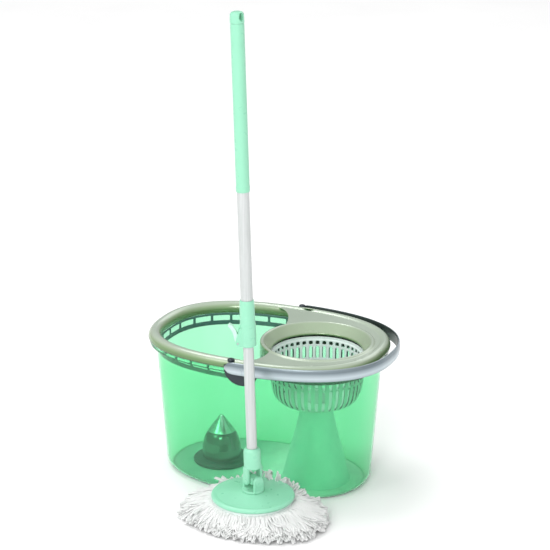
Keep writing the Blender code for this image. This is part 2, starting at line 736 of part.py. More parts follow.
def make_joint_cross(frame):
    half = 0.0095
    middle = block("joint_cross", (-half, -half, -0.0065), (half, half, 0.0065), MINT, frame)
    soften(middle, 0.0018)
    for axis, side in ((Vector((1, 0, 0)), "long"), (Vector((0, 1, 0)), "short")):
        bore = rod(
            f"cross_bore_{side}_cutter", JOINT_PIN + GAP, axis * -0.02, axis * 0.02, MINT, frame, steps=24
        )
        cut(middle, bore)
    quarter = radians(90)
    places = (
        ("joint_pin_front", FORK_OUTER, 0.0085, (0, quarter, 0)),
        ("joint_pin_rear", FORK_OUTER, 0.0085, (0, -quarter, 0)),
        ("joint_pin_left", SOCKET_FORK_OUTER, 0.0050, (quarter, 0, 0)),
        ("joint_pin_right", SOCKET_FORK_OUTER, 0.0050, (-quarter, 0, 0)),
    )
    for name, reach, head, turn in places:
        profile = [
            (0, 0.0040),
            (JOINT_PIN, 0.0040),
            (JOINT_PIN, reach + GAP),
            (head, reach + GAP),
            (head - 0.0006, reach + 0.0012),
            (0, reach + 0.0018),
        ]
        turned(name, profile, MINT, frame, steps=24, ring=False).rotation_euler = turn


# ---------------------------------------------------------------- pole
def tube(name, span, look, parent):
    low, high, radius = span
    inner = radius - TUBE_WALL
    return turned(name, [(inner, low), (radius, low), (radius, high), (inner, high)], look, parent)


def make_pole_socket(frame):
    bore = LOWER_TUBE[2] + GAP
    bore_floor = LOWER_TUBE[0] - GAP
    profile = [
        (0, SOCKET_BOTTOM),
        (0.0150, SOCKET_BOTTOM),
        (0.0158, SOCKET_BOTTOM + 0.0010),
        (0.0158, SOCKET_TOP - 0.0080),
        (0.0150, SOCKET_TOP - 0.0040),
        (0.0118, SOCKET_TOP),
        (bore, SOCKET_TOP),
        (bore, bore_floor),
        (0, bore_floor),
    ]
    socket = turned("pole_socket", profile, MINT, frame, ring=False)
    ears = empty("socket_ear_frame", (0, 0, 0), frame, Matrix.Rotation(pi, 3, "X") @ Matrix.Rotation(pi / 2, 3, "Z"))
    for sign, side in ((-1, "left"), (1, "right")):
        length = SOCKET_BOTTOM + 0.003
        inner, outer = SOCKET_FORK_INNER, SOCKET_FORK_OUTER
        join(socket, fork_ear(f"socket_ear_{side}_tool", inner, outer, SOCKET_EAR, length, ears, sign, MINT))
    bore_tool = rod("socket_fork_bore_cutter", JOINT_PIN + GAP, (0, -0.03, 0), (0, 0.03, 0), MINT, frame, steps=24)
    cut(socket, bore_tool)


def twisted_bar(name, span, width, thick, look, parent, steps):
    """A flat bar twisted about its own length, a turn for each lead."""
    rings = []
    for height in np.linspace(span[0], span[1], steps + 1):
        angle = tau * height / ROD_LEAD
        c, s = cos(angle), sin(angle)
        corners = [(width / 2, thick / 2), (-width / 2, thick / 2), (-width / 2, -thick / 2), (width / 2, -thick / 2)]
        rings.append([(x * c - y * s, x * s + y * c, height) for x, y in corners])
    return lofted(name, rings, look, parent)


def make_drive(frame):
    twisted_bar("twisted_rod", ROD, ROD_WIDTH, ROD_THICK, STEEL, frame, 64)
    inside = LOWER_TUBE[2] - TUBE_WALL - GAP
    nut = turned(
        "drive_nut", [(0, NUT[0]), (inside, NUT[0]), (inside, NUT[1]), (0, NUT[1])], NYLON, frame, ring=False
    )
    play = 0.0012
    slot_span = (NUT[0] - 0.002, NUT[1] + 0.002)
    cut(nut, twisted_bar("nut_slot_cutter", slot_span, ROD_WIDTH + play, ROD_THICK + play, NYLON, frame, 4))
    low = LOWER_TUBE[1] + GAP
    bush = [(0.0055, low), (0.0100, low), (0.0100, low + 0.010), (0.0055, low + 0.010)]
    turned("guide_bush", bush, NYLON, frame)
    plug_low = ROD[1] + GAP
    plug = [(0, plug_low), (0.0099, plug_low), (0.0099, UPPER_TUBE[1] - 0.002), (0, UPPER_TUBE[1] - 0.002)]
    turned("rod_plug", plug, NYLON, frame, ring=False)


def make_collar(frame):
    cavity = 0.0128
    shoulder = UPPER_TUBE[0] - GAP
    bore = UPPER_TUBE[2] + GAP
    profile = [
        (0.0104, COLLAR_BOTTOM),
        (0.0135, COLLAR_BOTTOM),
        (0.0147, COLLAR_BOTTOM + 0.0015),
        (0.0147, COLLAR_BOTTOM + 0.0400),
        (0.0138, COLLAR_BOTTOM + 0.0440),
        (0.0134, COLLAR_TOP - 0.0100),
        (0.0126, COLLAR_TOP - 0.0010),
        (0.0120, COLLAR_TOP),
        (bore, COLLAR_TOP),
        (bore, shoulder),
        (cavity, shoulder),
        (cavity, COLLAR_BOTTOM + 0.0016),
        (0.0104, COLLAR_BOTTOM + 0.0016),
    ]
    collar = turned("clamp_collar", profile, MINT, frame)
    bush_low = COLLAR_BOTTOM + 0.0016 + GAP
    bush = [
        (LOWER_TUBE[2] + GAP, bush_low),
        (cavity - GAP, bush_low),
        (cavity - GAP, shoulder - GAP),
        (LOWER_TUBE[2] + GAP, shoulder - GAP),
    ]
    turned("slide_bush", bush, NYLON, frame)

    turn = Matrix.Rotation(LEVER_AZIMUTH - JOINT_AZIMUTH, 3, "Z")
    pivot = turn @ Vector((LEVER_PIVOT[0], 0, LEVER_PIVOT[1]))
    axis = empty("lever_axis", pivot, frame, turn)
    for sign, side in ((-1, "left"), (1, "right")):
        near, far = sorted((sign * 0.0062, sign * 0.0085))
        ear = block(f"collar_ear_{side}_tool", (-0.0070, near, -0.0034), (0.0034, far, 0.0050), MINT, axis)
        join(collar, ear)
    bore_tool = rod("collar_ear_bore_cutter", 0.0015 + GAP, (0, -0.012, 0), (0, 0.012, 0), MINT, axis, steps=16)
    cut(collar, bore_tool)
    rod("lever_pin", 0.0015, (0, -0.0085, 0), (0, 0.0085, 0), STEEL, axis, steps=16)
    make_lock_lever(axis)


def make_lock_lever(axis):
    """A curved lever that swells round its pin and flares away from the collar at its tip."""
    half_width = 0.0058
    spine = [(0.0000, 0.0), (0.0022, 0.008), (0.0036, 0.016), (0.0062, 0.024), (0.0110, 0.031), (0.0150, 0.0345)]
    thick = [0.0034, 0.0026, 0.0020, 0.0017, 0.0014, 0.0010]
    outer, inner = [], []
    for i, (x, z) in enumerate(spine):
        ahead = Vector(spine[min(i + 1, len(spine) - 1)])
        behind = Vector(spine[max(i - 1, 0)])
        along = (ahead - behind).normalized()
        outer.append((x + along.y * thick[i], z - along.x * thick[i]))
        inner.append((x - along.y * thick[i], z + along.x * thick[i]))
    heel = [(0.0034 * cos(a), 0.0034 * sin(a)) for a in np.linspace(pi * 1.15, pi * 1.85, 6)]
    outline = heel + outer + inner[::-1]
    bm = bmesh.new()
    sides = [[bm.verts.new((x, y, z)) for x, z in outline] for y in (-half_width, half_width)]
    count = len(outline)
    for i in range(count):
        bm.faces.new((sides[0][i], sides[0][(i + 1) % count], sides[1][(i + 1) % count], sides[1][i]))
    bm.faces.new(sides[0])
    bm.faces.new(sides[1])
    lever = add_mesh("lock_lever", bm, MINT, axis)
    bore = rod("lever_bore_cutter", 0.0015 + GAP, (0, -0.02, 0), (0, 0.02, 0), MINT, axis, steps=16)
    cut(lever, bore)


def make_grip_and_cap(frame):
    radius = UPPER_TUBE[2] + GAP
    grip = [
        (radius, GRIP_BOTTOM),
        (0.0118, GRIP_BOTTOM),
        (0.0124, GRIP_BOTTOM + 0.002),
        (0.0122, GRIP_TOP - 0.002),
        (0.0118, GRIP_TOP - GAP),
        (radius, GRIP_TOP - GAP),
    ]
    turned("grip_sleeve", grip, MINT, frame)
    cap = [
        (0, UPPER_TUBE[1] + GAP),
        (radius, UPPER_TUBE[1] + GAP),
        (radius, GRIP_TOP),
        (0.0122, GRIP_TOP),
        (0.0125, GRIP_TOP + 0.001),
        (0.0121, CAP_TOP - 0.0050),
        (0.0100, CAP_TOP - 0.0015),
        (0.0055, CAP_TOP),
        (0, CAP_TOP),
    ]
    obj = turned("hang_cap", cap, MINT, frame, ring=False)
    turn = radians(24) - JOINT_AZIMUTH
    across = Vector((cos(turn), sin(turn), 0)) * 0.03
    middle = Vector((0, 0, CAP_TOP - 0.0085))
    cut(obj, rod("hang_hole_cutter", 0.0020, middle - across, middle + across, MINT, frame, steps=16))


# ---------------------------------------------------------------- assembly
make_tub()
make_rim_frame()
make_splash_skirt()
make_hinge_boss(-1)
make_hinge_boss(1)
make_pedestal()
make_spindle()
make_basket()
make_basket_hub()
make_spindle_bush()
make_hub_cap()
make_wash_pivot()
make_bail()
make_mop_head()
fork_frame, cross_frame, pole_frame = joint_frames()
make_lower_fork(fork_frame)
make_joint_cross(cross_frame)
make_pole_socket(pole_frame)
tube("lower_tube", LOWER_TUBE, STEEL, pole_frame)
make_drive(pole_frame)
tube("upper_tube", UPPER_TUBE, STEEL, pole_frame)
make_collar(pole_frame)
make_grip_and_cap(pole_frame)
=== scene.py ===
"""Spin mop set, dressed for a picture.

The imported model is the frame. What shows is finer copies of its moulded parts, a looped yarn fringe, and
procedural materials. Metres, +Z up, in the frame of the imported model.
"""

from math import cos, pi, radians, sin, sqrt, tau

import bmesh
import bpy
import numpy as np
from mathutils import Matrix, Vector


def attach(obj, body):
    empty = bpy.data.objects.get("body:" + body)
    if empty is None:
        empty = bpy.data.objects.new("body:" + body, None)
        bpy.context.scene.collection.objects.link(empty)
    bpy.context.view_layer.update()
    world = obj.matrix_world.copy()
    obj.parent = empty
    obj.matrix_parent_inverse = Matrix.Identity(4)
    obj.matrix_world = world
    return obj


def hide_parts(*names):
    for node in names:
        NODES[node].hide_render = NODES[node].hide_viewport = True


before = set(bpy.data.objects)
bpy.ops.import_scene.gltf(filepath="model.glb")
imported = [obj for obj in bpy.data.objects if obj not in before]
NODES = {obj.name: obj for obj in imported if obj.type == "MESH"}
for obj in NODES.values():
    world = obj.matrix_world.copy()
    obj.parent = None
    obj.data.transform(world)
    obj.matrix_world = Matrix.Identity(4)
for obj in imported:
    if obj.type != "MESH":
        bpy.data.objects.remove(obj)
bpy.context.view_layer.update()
scene = bpy.context.scene

# ---------------------------------------------------------------- sizes and places, as in the part
GAP = 0.0003
RIM = (0.232, 0.168, 2.46)
WALL_TOP = (0.2175, 0.1535, 2.46)
WALL_BASE = (0.2025, 0.1335, 2.26)
TUB_WALL = 0.0025
TUB_CORNER = 0.020
FLOOR_LOOK_TOP = 0.0035
FLANGE_LOW = 0.2567
FLANGE_TOP = 0.2652
FLANGE_REACH = 0.0115
RIM_CREST = (0.0115, 0.2825)
RIM_OUTER_FALL = 0.0150
RIM_INNER_EDGE = (0.0242, 0.2665)
DECK_TOP = 0.2795
DECK_THICK = 0.003
DECK_INSET = 0.0170
LIP_INSET = 0.0175
LIP_LOW = 0.2620
NOTCH_ENDS = (-0.0143, 0.0543)
NOTCH_INSIDE = 0.1657
NOTCH_TOP = 0.2731
RIM_SLOT = (0.016, 0.1535)
RIM_SLOT_HALF = (0.0105, 0.0028)
RIM_SLOT_FLOOR = 0.272
WASH_CUT = (0.2160, 0.1520, 2.46)
WEB_BACK = (-0.070, (-0.014, 0.158), radians(32))
WEB_FRONT = (-0.015, (0.046, -0.158), radians(56))
FUNNEL_X = 0.100
FUNNEL_OUTER = 0.108
FUNNEL_LOW = 0.234
FUNNEL_CREST = 0.2825
FUNNEL_MOUTH = 0.0854
FUNNEL_MOUTH_Z = 0.264
BASKET_SLOTS = 40
BASKET_WALL = 0.0042
PEDESTAL_TOP = 0.1555
PIVOT_X = -0.100
BAIL_PIVOT = Vector((0.020, 0, 0.266))
BAIL_INSIDE = (0.2475, 0.1725, 2.40)
BAIL_LOW = 0.2580
BAIL_TOP = 0.2820
BAIL_TAIL = 0.030
BAIL_TAIL_ROUND = 0.020
KNUCKLE = (-0.002, 0.1632, 0.2820)
MOP = Vector((0.0700, -0.2225, 0))
PLATE_RADIUS = 0.0765
PLATE_UNDER = 0.0463
PLATE_HUB_TOP = 0.0600
YARN_SIDE = 0.1455
YARN_FRONT = 0.100
YARN_BACK = 0.0820
YARN_LAYERS = 6
YARN_LOOPS = 138
JOINT = Vector((0.0700, -0.2225, 0.082))
POLE_LEAN = Vector((-0.0304, -0.0135, 1.0)).normalized()
GRIP_BOTTOM = 0.5453
GRIP_TOP = 0.8423
CAP_TOP = 0.8623
LOWER_TUBE = (0.031, 0.6043, 0.0095)
UPPER_TUBE = (0.2875, 0.8443, 0.0110)
CLAMP_TURN = radians(232)
HANG_HOLE_TURN = radians(4)
HANG_HOLE_HALF = (0.0045, 0.0070)
HANG_HOLE_UP = 0.8532
LEVER_OUT = 0.0185
LEVER_UP = 0.2663
LEVER_BORE = 0.0018
CAMERA_AT = (1.50528, -3.33194, 1.62271)
CAMERA_TURN = radians(24.139)
CAMERA_RISE = radians(18.538)
CAMERA_ROLL = radians(0.29)
CAMERA_LENS = 134.28
rng = np.random.default_rng(11)


# ---------------------------------------------------------------- materials
def linear(code):
    """A colour written as six hexadecimal digits, as linear light."""
    parts = [int(code[i : i + 2], 16) / 255 for i in (0, 2, 4)]
    return [p / 12.92 if p < 0.04045 else ((p + 0.055) / 1.055) ** 2.4 for p in parts] + [1.0]


class Look:
    """A material whose nodes are added one call at a time."""

    def __init__(self, name, **sockets):
        self.material = bpy.data.materials.new(name)
        self.material.use_nodes = True
        self.tree = self.material.node_tree
        self.shader = self.tree.nodes["Principled BSDF"]
        for socket, value in sockets.items():
            self.shader.inputs[socket.replace("_", " ")].default_value = value
        self.place = self.node("ShaderNodeTexCoord").outputs["Object"]

    def node(self, kind, **settings):
        made = self.tree.nodes.new(kind)
        for key, value in settings.items():
            setattr(made, key, value)
        return made

    def link(self, a, b):
        self.tree.links.new(a, b)

    def stretched(self, scale):
        mapping = self.node("ShaderNodeMapping")
        mapping.inputs["Scale"].default_value = scale
        self.link(self.place, mapping.inputs["Vector"])
        return mapping.outputs["Vector"]

    def noise(self, scale, detail=3.0, stretch=None, distortion=0.0):
        made = self.node("ShaderNodeTexNoise")
        made.inputs["Scale"].default_value = scale
        made.inputs["Detail"].default_value = detail
        made.inputs["Distortion"].default_value = distortion
        self.link(self.stretched(stretch) if stretch else self.place, made.inputs["Vector"])
        return made.outputs["Fac"]

    def ramp(self, source, stops):
        made = self.node("ShaderNodeValToRGB")
        elements = made.color_ramp.elements
        while len(elements) < len(stops):
            elements.new(0.5)
        for element, (position, colour) in zip(elements, stops):
            element.position = position
            element.color = linear(colour) if isinstance(colour, str) else (colour, colour, colour, 1)
        self.link(source, made.inputs["Fac"])
        return made.outputs["Color"]

    def mix(self, kind, share, a, b):
        made = self.node("ShaderNodeMix", data_type="RGBA", blend_type=kind)
        if isinstance(share, float):
            made.inputs["Factor"].default_value = share
        else:
            self.link(share, made.inputs["Factor"])
        self.link(a, made.inputs["A"])
        self.link(b, made.inputs["B"])
        return made.outputs["Result"]

    def height(self):
        """How high a point is, in metres."""
        split = self.node("ShaderNodeSeparateXYZ")
        self.link(self.place, split.inputs[0])
        return split.outputs["Z"]

    def scaled(self, source, low, high):
        made = self.node("ShaderNodeMapRange")
        made.inputs["From Min"].default_value = low
        made.inputs["From Max"].default_value = high
        self.link(source, made.inputs["Value"])
        return made.outputs["Result"]

    def colour(self, source):
        self.link(source, self.shader.inputs["Base Color"])

    def rough(self, source, low, high):
        self.link(self.ramp(source, [(0.3, low), (0.7, high)]), self.shader.inputs["Roughness"])

    def bump(self, source, strength, depth):
        made = self.node("ShaderNodeBump")
        made.inputs["Strength"].default_value = strength
        made.inputs["Distance"].default_value = depth
        self.link(source, made.inputs["Height"])
        self.link(made.outputs["Normal"], self.shader.inputs["Normal"])


def clear_green():
    """Tinted see-through plastic with faint flow marks up the wall."""
    look = Look("clear_green_plastic", IOR=1.2, Transmission_Weight=0.92)
    streaks = look.noise(14, 4, (1.0, 1.0, 0.08))
    look.colour(look.ramp(streaks, [(0.25, "AAF6CB"), (0.55, "B0F8D0"), (0.8, "B8FAD6")]))
    look.rough(look.noise(30, 2), 0.0, 0.03)
    look.bump(look.noise(420, 2), 0.02, 0.0002)
    return look.material


def green_floor():
    """The tub's thicker floor, which lets less through, with painted shade that darkens it towards the wash
    pivot.
    """
    look = Look("green_floor_plastic", IOR=1.2)
    split = look.node("ShaderNodeSeparateXYZ")
    look.link(look.place, split.inputs[0])
    # painted shade: the floor's colour darkens from x 0.010 down to x -0.060, towards the wash pivot
    along = look.scaled(split.outputs["X"], -0.060, 0.010)
    shade = look.ramp(along, [(0.0, "C4E2D9"), (0.5, "DEF1EA"), (1.0, "F6FFFB")])
    swirl = look.ramp(look.noise(12, 2), [(0.3, "F9FBFA"), (0.7, "FFFFFF")])
    look.colour(look.mix("MULTIPLY", 1.0, shade, swirl))
    look.rough(look.noise(12, 2), 0.26, 0.30)
    return look.material


def satin(name, codes, rough, grain=900, strength=0.12, scale=9, **sockets):
    """Moulded plastic: slow colour drift, uneven gloss and a fine spark-eroded grain."""
    look = Look(name, **sockets)
    drift = look.noise(scale, 3, distortion=0.4)
    look.colour(look.ramp(drift, [(0.3, codes[0]), (0.5, codes[1]), (0.72, codes[2])]))
    look.rough(look.noise(scale * 5, 3), *rough)
    look.bump(look.noise(grain, 2), strength, 0.0003)
    return look.material


def silver():
    """The bail's silver coat, with painted highlight and painted shade in bands up its height: bright low
    down, darker along its upper half and its lower edge.
    """
    look = Look("silver_plastic", Metallic=0.6, IOR=1.5, Coat_Weight=0.3, Coat_Roughness=0.2)
    drift = look.ramp(look.noise(6, 3, distortion=0.4), [(0.3, "E9EEF0"), (0.7, "FFFFFF")])
    # painted highlight and shade: the colour bands by height stand in for the light on the band's curved
    # face
    rise = look.scaled(look.height(), BAIL_LOW, BAIL_TOP)
    band = [
        (0.0, "6F7A80"), (0.08, "B4BFC5"), (0.30, "CBD5DA"), (0.52, "ABB6BC"), (0.74, "7E8A90"),
        (0.92, "909CA2"), (1.0, "ABB6BA"),
    ]
    look.colour(look.mix("MULTIPLY", 1.0, look.ramp(rise, band), drift))
    look.rough(look.noise(40, 3), 0.28, 0.38)
    look.bump(look.noise(900, 2), 0.04, 0.0002)
    return look.material


def khaki():
    """The frame's satin plastic, with painted light and shade: greyer on top and greener down its sides by
    which way a face points, and darker in the basket's well as painted shade.
    """
    look = Look("khaki_plastic", IOR=1.5, Metallic=0.1, Coat_Weight=0.6, Coat_Roughness=0.2)
    drift = look.noise(5, 3, distortion=0.4)
    drift = look.ramp(drift, [(0.3, "EDF1EA"), (0.5, "F6F8F3"), (0.72, "FFFFFF")])
    surface = look.node("ShaderNodeNewGeometry")
    split = look.node("ShaderNodeSeparateXYZ")
    look.link(surface.outputs["Normal"], split.inputs[0])
    # painted light and shade: faces pointing up are lighter and greyer, side faces darker and greener
    rise = look.scaled(split.outputs["Z"], -0.1, 1.0)
    painted_light_greens = [(0.0, "4F7042"), (0.3, "6F9160"), (0.55, "96AC88"), (0.8, "B3C0AE"), (1.0, "B0BEB0")]
    shade = look.mix("MULTIPLY", 1.0, drift, look.ramp(rise, painted_light_greens))
    # painted shade: the colour darkens below 0.2625 m, low in the basket's well and under the lip
    well = look.ramp(look.scaled(look.height(), 0.2625, 0.2590), [(0.0, "FFFFFF"), (1.0, "66786A")])
    look.colour(look.mix("MULTIPLY", 1.0, shade, well))
    look.rough(look.noise(25, 3), 0.18, 0.28)
    look.bump(look.noise(900, 2), 0.06, 0.0003)
    return look.material


def metal(name, codes, rough, stretch, scale, **sockets):
    """Drawn or turned metal: fine lines along one direction in both colour and gloss."""
    look = Look(name, **sockets)
    lines = look.noise(scale, 4, stretch)
    look.colour(look.ramp(lines, [(0.3, codes[0]), (0.5, codes[1]), (0.7, codes[2])]))
    look.rough(look.noise(scale, 3, stretch), *rough)
    look.bump(lines, 0.05, 0.0002)
    return look.material


def yarn():
    """Looped microfibre: a two-ply twist from the strand's own coordinates, over fine fuzz."""
    look = Look("white_yarn", Roughness=0.9, IOR=1.35)
    look.shader.inputs["Sheen Weight"].default_value = 0.35
    look.shader.inputs["Sheen Roughness"].default_value = 0.6
    look.shader.inputs["Subsurface Weight"].default_value = 0.5
    look.shader.inputs["Subsurface Radius"].default_value = (0.004, 0.004, 0.004)
    strand = look.node("ShaderNodeUVMap", uv_map="strand")
    mapping = look.node("ShaderNodeMapping")
    mapping.inputs["Rotation"].default_value = (0, 0, radians(38))
    look.link(strand.outputs["UV"], mapping.inputs["Vector"])
    twist = look.node("ShaderNodeTexWave", wave_type="BANDS", bands_direction="X")
    twist.inputs["Scale"].default_value = 160
    twist.inputs["Distortion"].default_value = 2.2
    twist.inputs["Detail"].default_value = 2
    look.link(mapping.outputs["Vector"], twist.inputs["Vector"])
    shade = look.ramp(twist.outputs["Fac"], [(0.0, "EBEEEC"), (0.35, "F8FAF8"), (1.0, "FFFFFF")])
    patches = look.ramp(look.noise(45, 3), [(0.3, "F1F3F2"), (0.6, "FFFFFF")])
    look.colour(look.mix("MULTIPLY", 0.7, shade, patches))
    look.bump(look.mix("ADD", 0.35, twist.outputs["Color"], look.noise(1600, 3)), 0.7, 0.0012)
    return look.material


TURNED_LINES = (0.05, 0.05, 1.0)
DRAWN_LINES = (1.0, 1.0, 0.02)
CLEAR_GREEN = clear_green()
GREEN_FLOOR = green_floor()
KHAKI = khaki()
DARK = satin("dark_plastic", ("18242B", "1F2C33", "28373E"), (0.28, 0.42))
SMOKE = satin("smoke_plastic", ("3E635C", "496F67", "567C74"), (0.25, 0.38))
SILVER = silver()
GLOSS_DARK = metal(
    "polished_dark", ("56645F", "606E69", "6A7873"), (0.05, 0.09), TURNED_LINES, 300, Metallic=1.0
)
# a dark copy of the silver for the band's inner face: painted shade
BAIL_PAINTED_SHADE = satin(
    "shaded_silver", ("2C3836", "35413F", "3F4B49"), (0.25, 0.35), grain=1500, Metallic=0.3
)
WHITE = satin("white_plastic", ("D3E0DC", "D8E4E0", "DEE8E5"), (0.30, 0.42), scale=14)
# a dark copy of the white plastic for the slots' side faces: painted shade
SLOT_PAINTED_SHADE = satin("shaded_white_plastic", ("30443F", "3A504A", "465D57"), (0.35, 0.45), scale=14)
MILKY = satin("milky_plastic", ("CBE9E4", "D5EFEB", "DEF4F1"), (0.25, 0.40), scale=14)
MINT = satin("mint_plastic", ("91D5B5", "93D7B7", "95D9B9"), (0.27, 0.31), strength=0.04, scale=16)
PALE_MINT = satin("pale_mint_plastic", ("C4ECD9", "C9EFDD", "CFF2E2"), (0.25, 0.38), scale=20)
STEEL = metal("steel_tube", ("BCC1C0", "C6CAC9", "D0D3D3"), (0.30, 0.40), DRAWN_LINES, 500, Metallic=0.3)
CHROME = metal(
    "polished_metal", ("D5E6E0", "DCEBE6", "E4F0EC"), (0.16, 0.24), TURNED_LINES, 300, Metallic=1.0
)
NYLON = satin("nylon", ("DEDCD0", "E6E4DA", "EEECE4"), (0.45, 0.55), scale=30)
YARN = yarn()

for names, look in (
    ("hinge_boss_front hinge_boss_back wash_pivot_base", DARK),
    ("splash_skirt", SMOKE),
    ("bail_pin_front bail_pin_back", SILVER),
    ("basket_spindle wash_pivot_pin twisted_rod lever_pin lower_tube upper_tube", STEEL),
    ("basket_hub hub_cap spin_basket refill_ring", WHITE),
    ("spindle_bush drive_nut guide_bush slide_bush rod_plug", NYLON),
    ("mop_plate plate_fork pole_socket clamp_collar grip_sleeve hang_cap", MINT),
    ("joint_cross joint_pin_front joint_pin_rear joint_pin_left joint_pin_right", MINT),
    ("bucket_tub", CLEAR_GREEN),
    ("rim_frame", KHAKI),
    ("bail_handle", SILVER),
    ("pedestal_cone", MILKY),
    ("wash_pivot_dome wash_pivot_cone", CHROME),
    ("mop_yarn", YARN),
    ("lock_lever", PALE_MINT),
):
    for name in names.split():
        mesh = NODES[name].data
        mesh.materials.clear()
        mesh.materials.append(look)


# ---------------------------------------------------------------- building blocks
def finish_piece(obj, look, body, slot, *stands_for, sharp=radians(40)):
    """Gives a made piece its material and its body, and hides the CAD nodes that it stands for. Its slot is
    not used.
    """
    mesh = obj.data
    mesh.materials.clear()
    mesh.materials.append(look)
    mesh.shade_smooth()
    mesh.set_sharp_from_angle(angle=sharp)
    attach(obj, body)
    if stands_for:
        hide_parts(*stands_for)
    return obj


def new_object(name, mesh):
    obj = bpy.data.objects.new(name, mesh)
    scene.collection.objects.link(obj)
    return obj


def from_bmesh(name, bm):
    bmesh.ops.recalc_face_normals(bm, faces=bm.faces)
    mesh = bpy.data.meshes.new(name)
    bm.to_mesh(mesh)
    bm.free()
    return new_object(name, mesh)


def curve(start, corner, end, steps):
    """Points from start to end, drawn towards a corner between them."""
    return [
        start * (1 - t) ** 2 + corner * 2 * t * (1 - t) + end * t**2 for t in np.linspace(0, 1, steps + 1)
    ]


def rounded(points, radii, steps=4):
    """A closed outline with its corners turned into arcs. A corner's radius is capped by its sides."""
    points = [Vector(p) for p in points]
    count = len(points)
    radii = [radii] * count if isinstance(radii, float) else radii
    made = []
    for i, here in enumerate(points):
        before, after = points[i - 1] - here, points[(i + 1) % count] - here
        turn = before.angle(after) if before.length > 1e-9 and after.length > 1e-9 else pi
        reach = min(radii[i] / max(np.tan(turn / 2), 1e-6), before.length * 0.45, after.length * 0.45)
        if radii[i] <= 0 or turn > radians(176):
            made.append(here)
            continue
        start, end = here + before.normalized() * reach, here + after.normalized() * reach
        made += curve(start, here, end, steps)
    return [tuple(p) for p in made]


def skin(name, rings, closed_path=True, closed_ring=True, capped=False):
    """Quads between rings of points. A closed path joins the last ring to the first."""
    bm = bmesh.new()
    rows = [[bm.verts.new(point) for point in ring] for ring in rings]
    count = len(rows[0])
    pairs = list(zip(rows, rows[1:] + rows[:1])) if closed_path else list(zip(rows, rows[1:]))
    around = count if closed_ring else count - 1
    for low, high in pairs:
        for i in range(around):
            j = (i + 1) % count
            bm.faces.new((low[i], low[j], high[j], high[i]))
    if capped:
        bm.faces.new(rows[0][::-1])
        bm.faces.new(rows[-1])
    return from_bmesh(name, bm)


def turned(name, profile, at=(0, 0, 0), steps=96, turn=None):
    """Spins a closed profile of (radius, height) points about its axis, then turns and places it."""
    angles = np.arange(steps) * tau / steps
    rings = [[(r * cos(a), r * sin(a), z) for r, z in profile] for a in angles]
    obj = skin(name, rings)
    bm = bmesh.new()
    bm.from_mesh(obj.data)
    bmesh.ops.remove_doubles(bm, verts=bm.verts, dist=1e-6)
    bmesh.ops.recalc_face_normals(bm, faces=bm.faces)
    bm.to_mesh(obj.data)
    bm.free()
    obj.data.transform(Matrix.Translation(at) @ (turn.to_4x4() if turn else Matrix.Identity(4)))
    return obj


def oval_at(shape, angles):
    """Points on a squared oval of (half length, half width, power), one for each angle."""
    length, width, power = shape
    c, s = np.cos(angles), np.sin(angles)
    x = length * np.sign(c) * np.abs(c) ** (2 / power)
    y = width * np.sign(s) * np.abs(s) ** (2 / power)
    return list(zip(x, y))


def oval(shape, inset=0.0, steps=176):
    """The whole outline of a squared oval, set in by a distance."""
    length, width, power = shape
    return oval_at((length - inset, width - inset, power), np.arange(steps) * tau / steps)


def wall_shape(z):
    """The tub's outer oval at a height."""
    share = z / FLANGE_LOW
    return tuple(a + (b - a) * share for a, b in zip(WALL_BASE, WALL_TOP))


def applied(obj):
    """The object with its modifiers made real."""
    bpy.context.view_layer.update()
    graph = bpy.context.evaluated_depsgraph_get()
    mesh = bpy.data.meshes.new_from_object(obj.evaluated_get(graph))
    old = obj.data
    obj.modifiers.clear()
    obj.data = mesh
    bpy.data.meshes.remove(old)
    return obj


def combine(obj, tool, operation):
    """Joins a tool to the object, or cuts it out, and removes the tool."""
    modifier = obj.modifiers.new(operation, "BOOLEAN")
    modifier.operation = operation
    modifier.object = tool
    modifier.solver = "EXACT"
    applied(obj)
    bpy.data.objects.remove(tool, do_unlink=True)


def moulded(obj, voxel, rounds, strength=0.5):
    """Remeshes a solid finely and eases its edges, as a moulding's are."""
    remesh = obj.modifiers.new("grid", "REMESH")
    remesh.mode = "VOXEL"
    remesh.voxel_size = voxel
    ease = obj.modifiers.new("ease", "SMOOTH")
    ease.factor = strength
    ease.iterations = rounds
    return applied(obj)


def moulded_copy(node, name, voxel, rounds, look, body, slot):
    """A finer copy of a CAD node, with eased edges, that stands for it."""
    obj = new_object(name, NODES[node].data.copy())
    return finish_piece(moulded(obj, voxel, rounds), look, body, slot, node, sharp=pi)


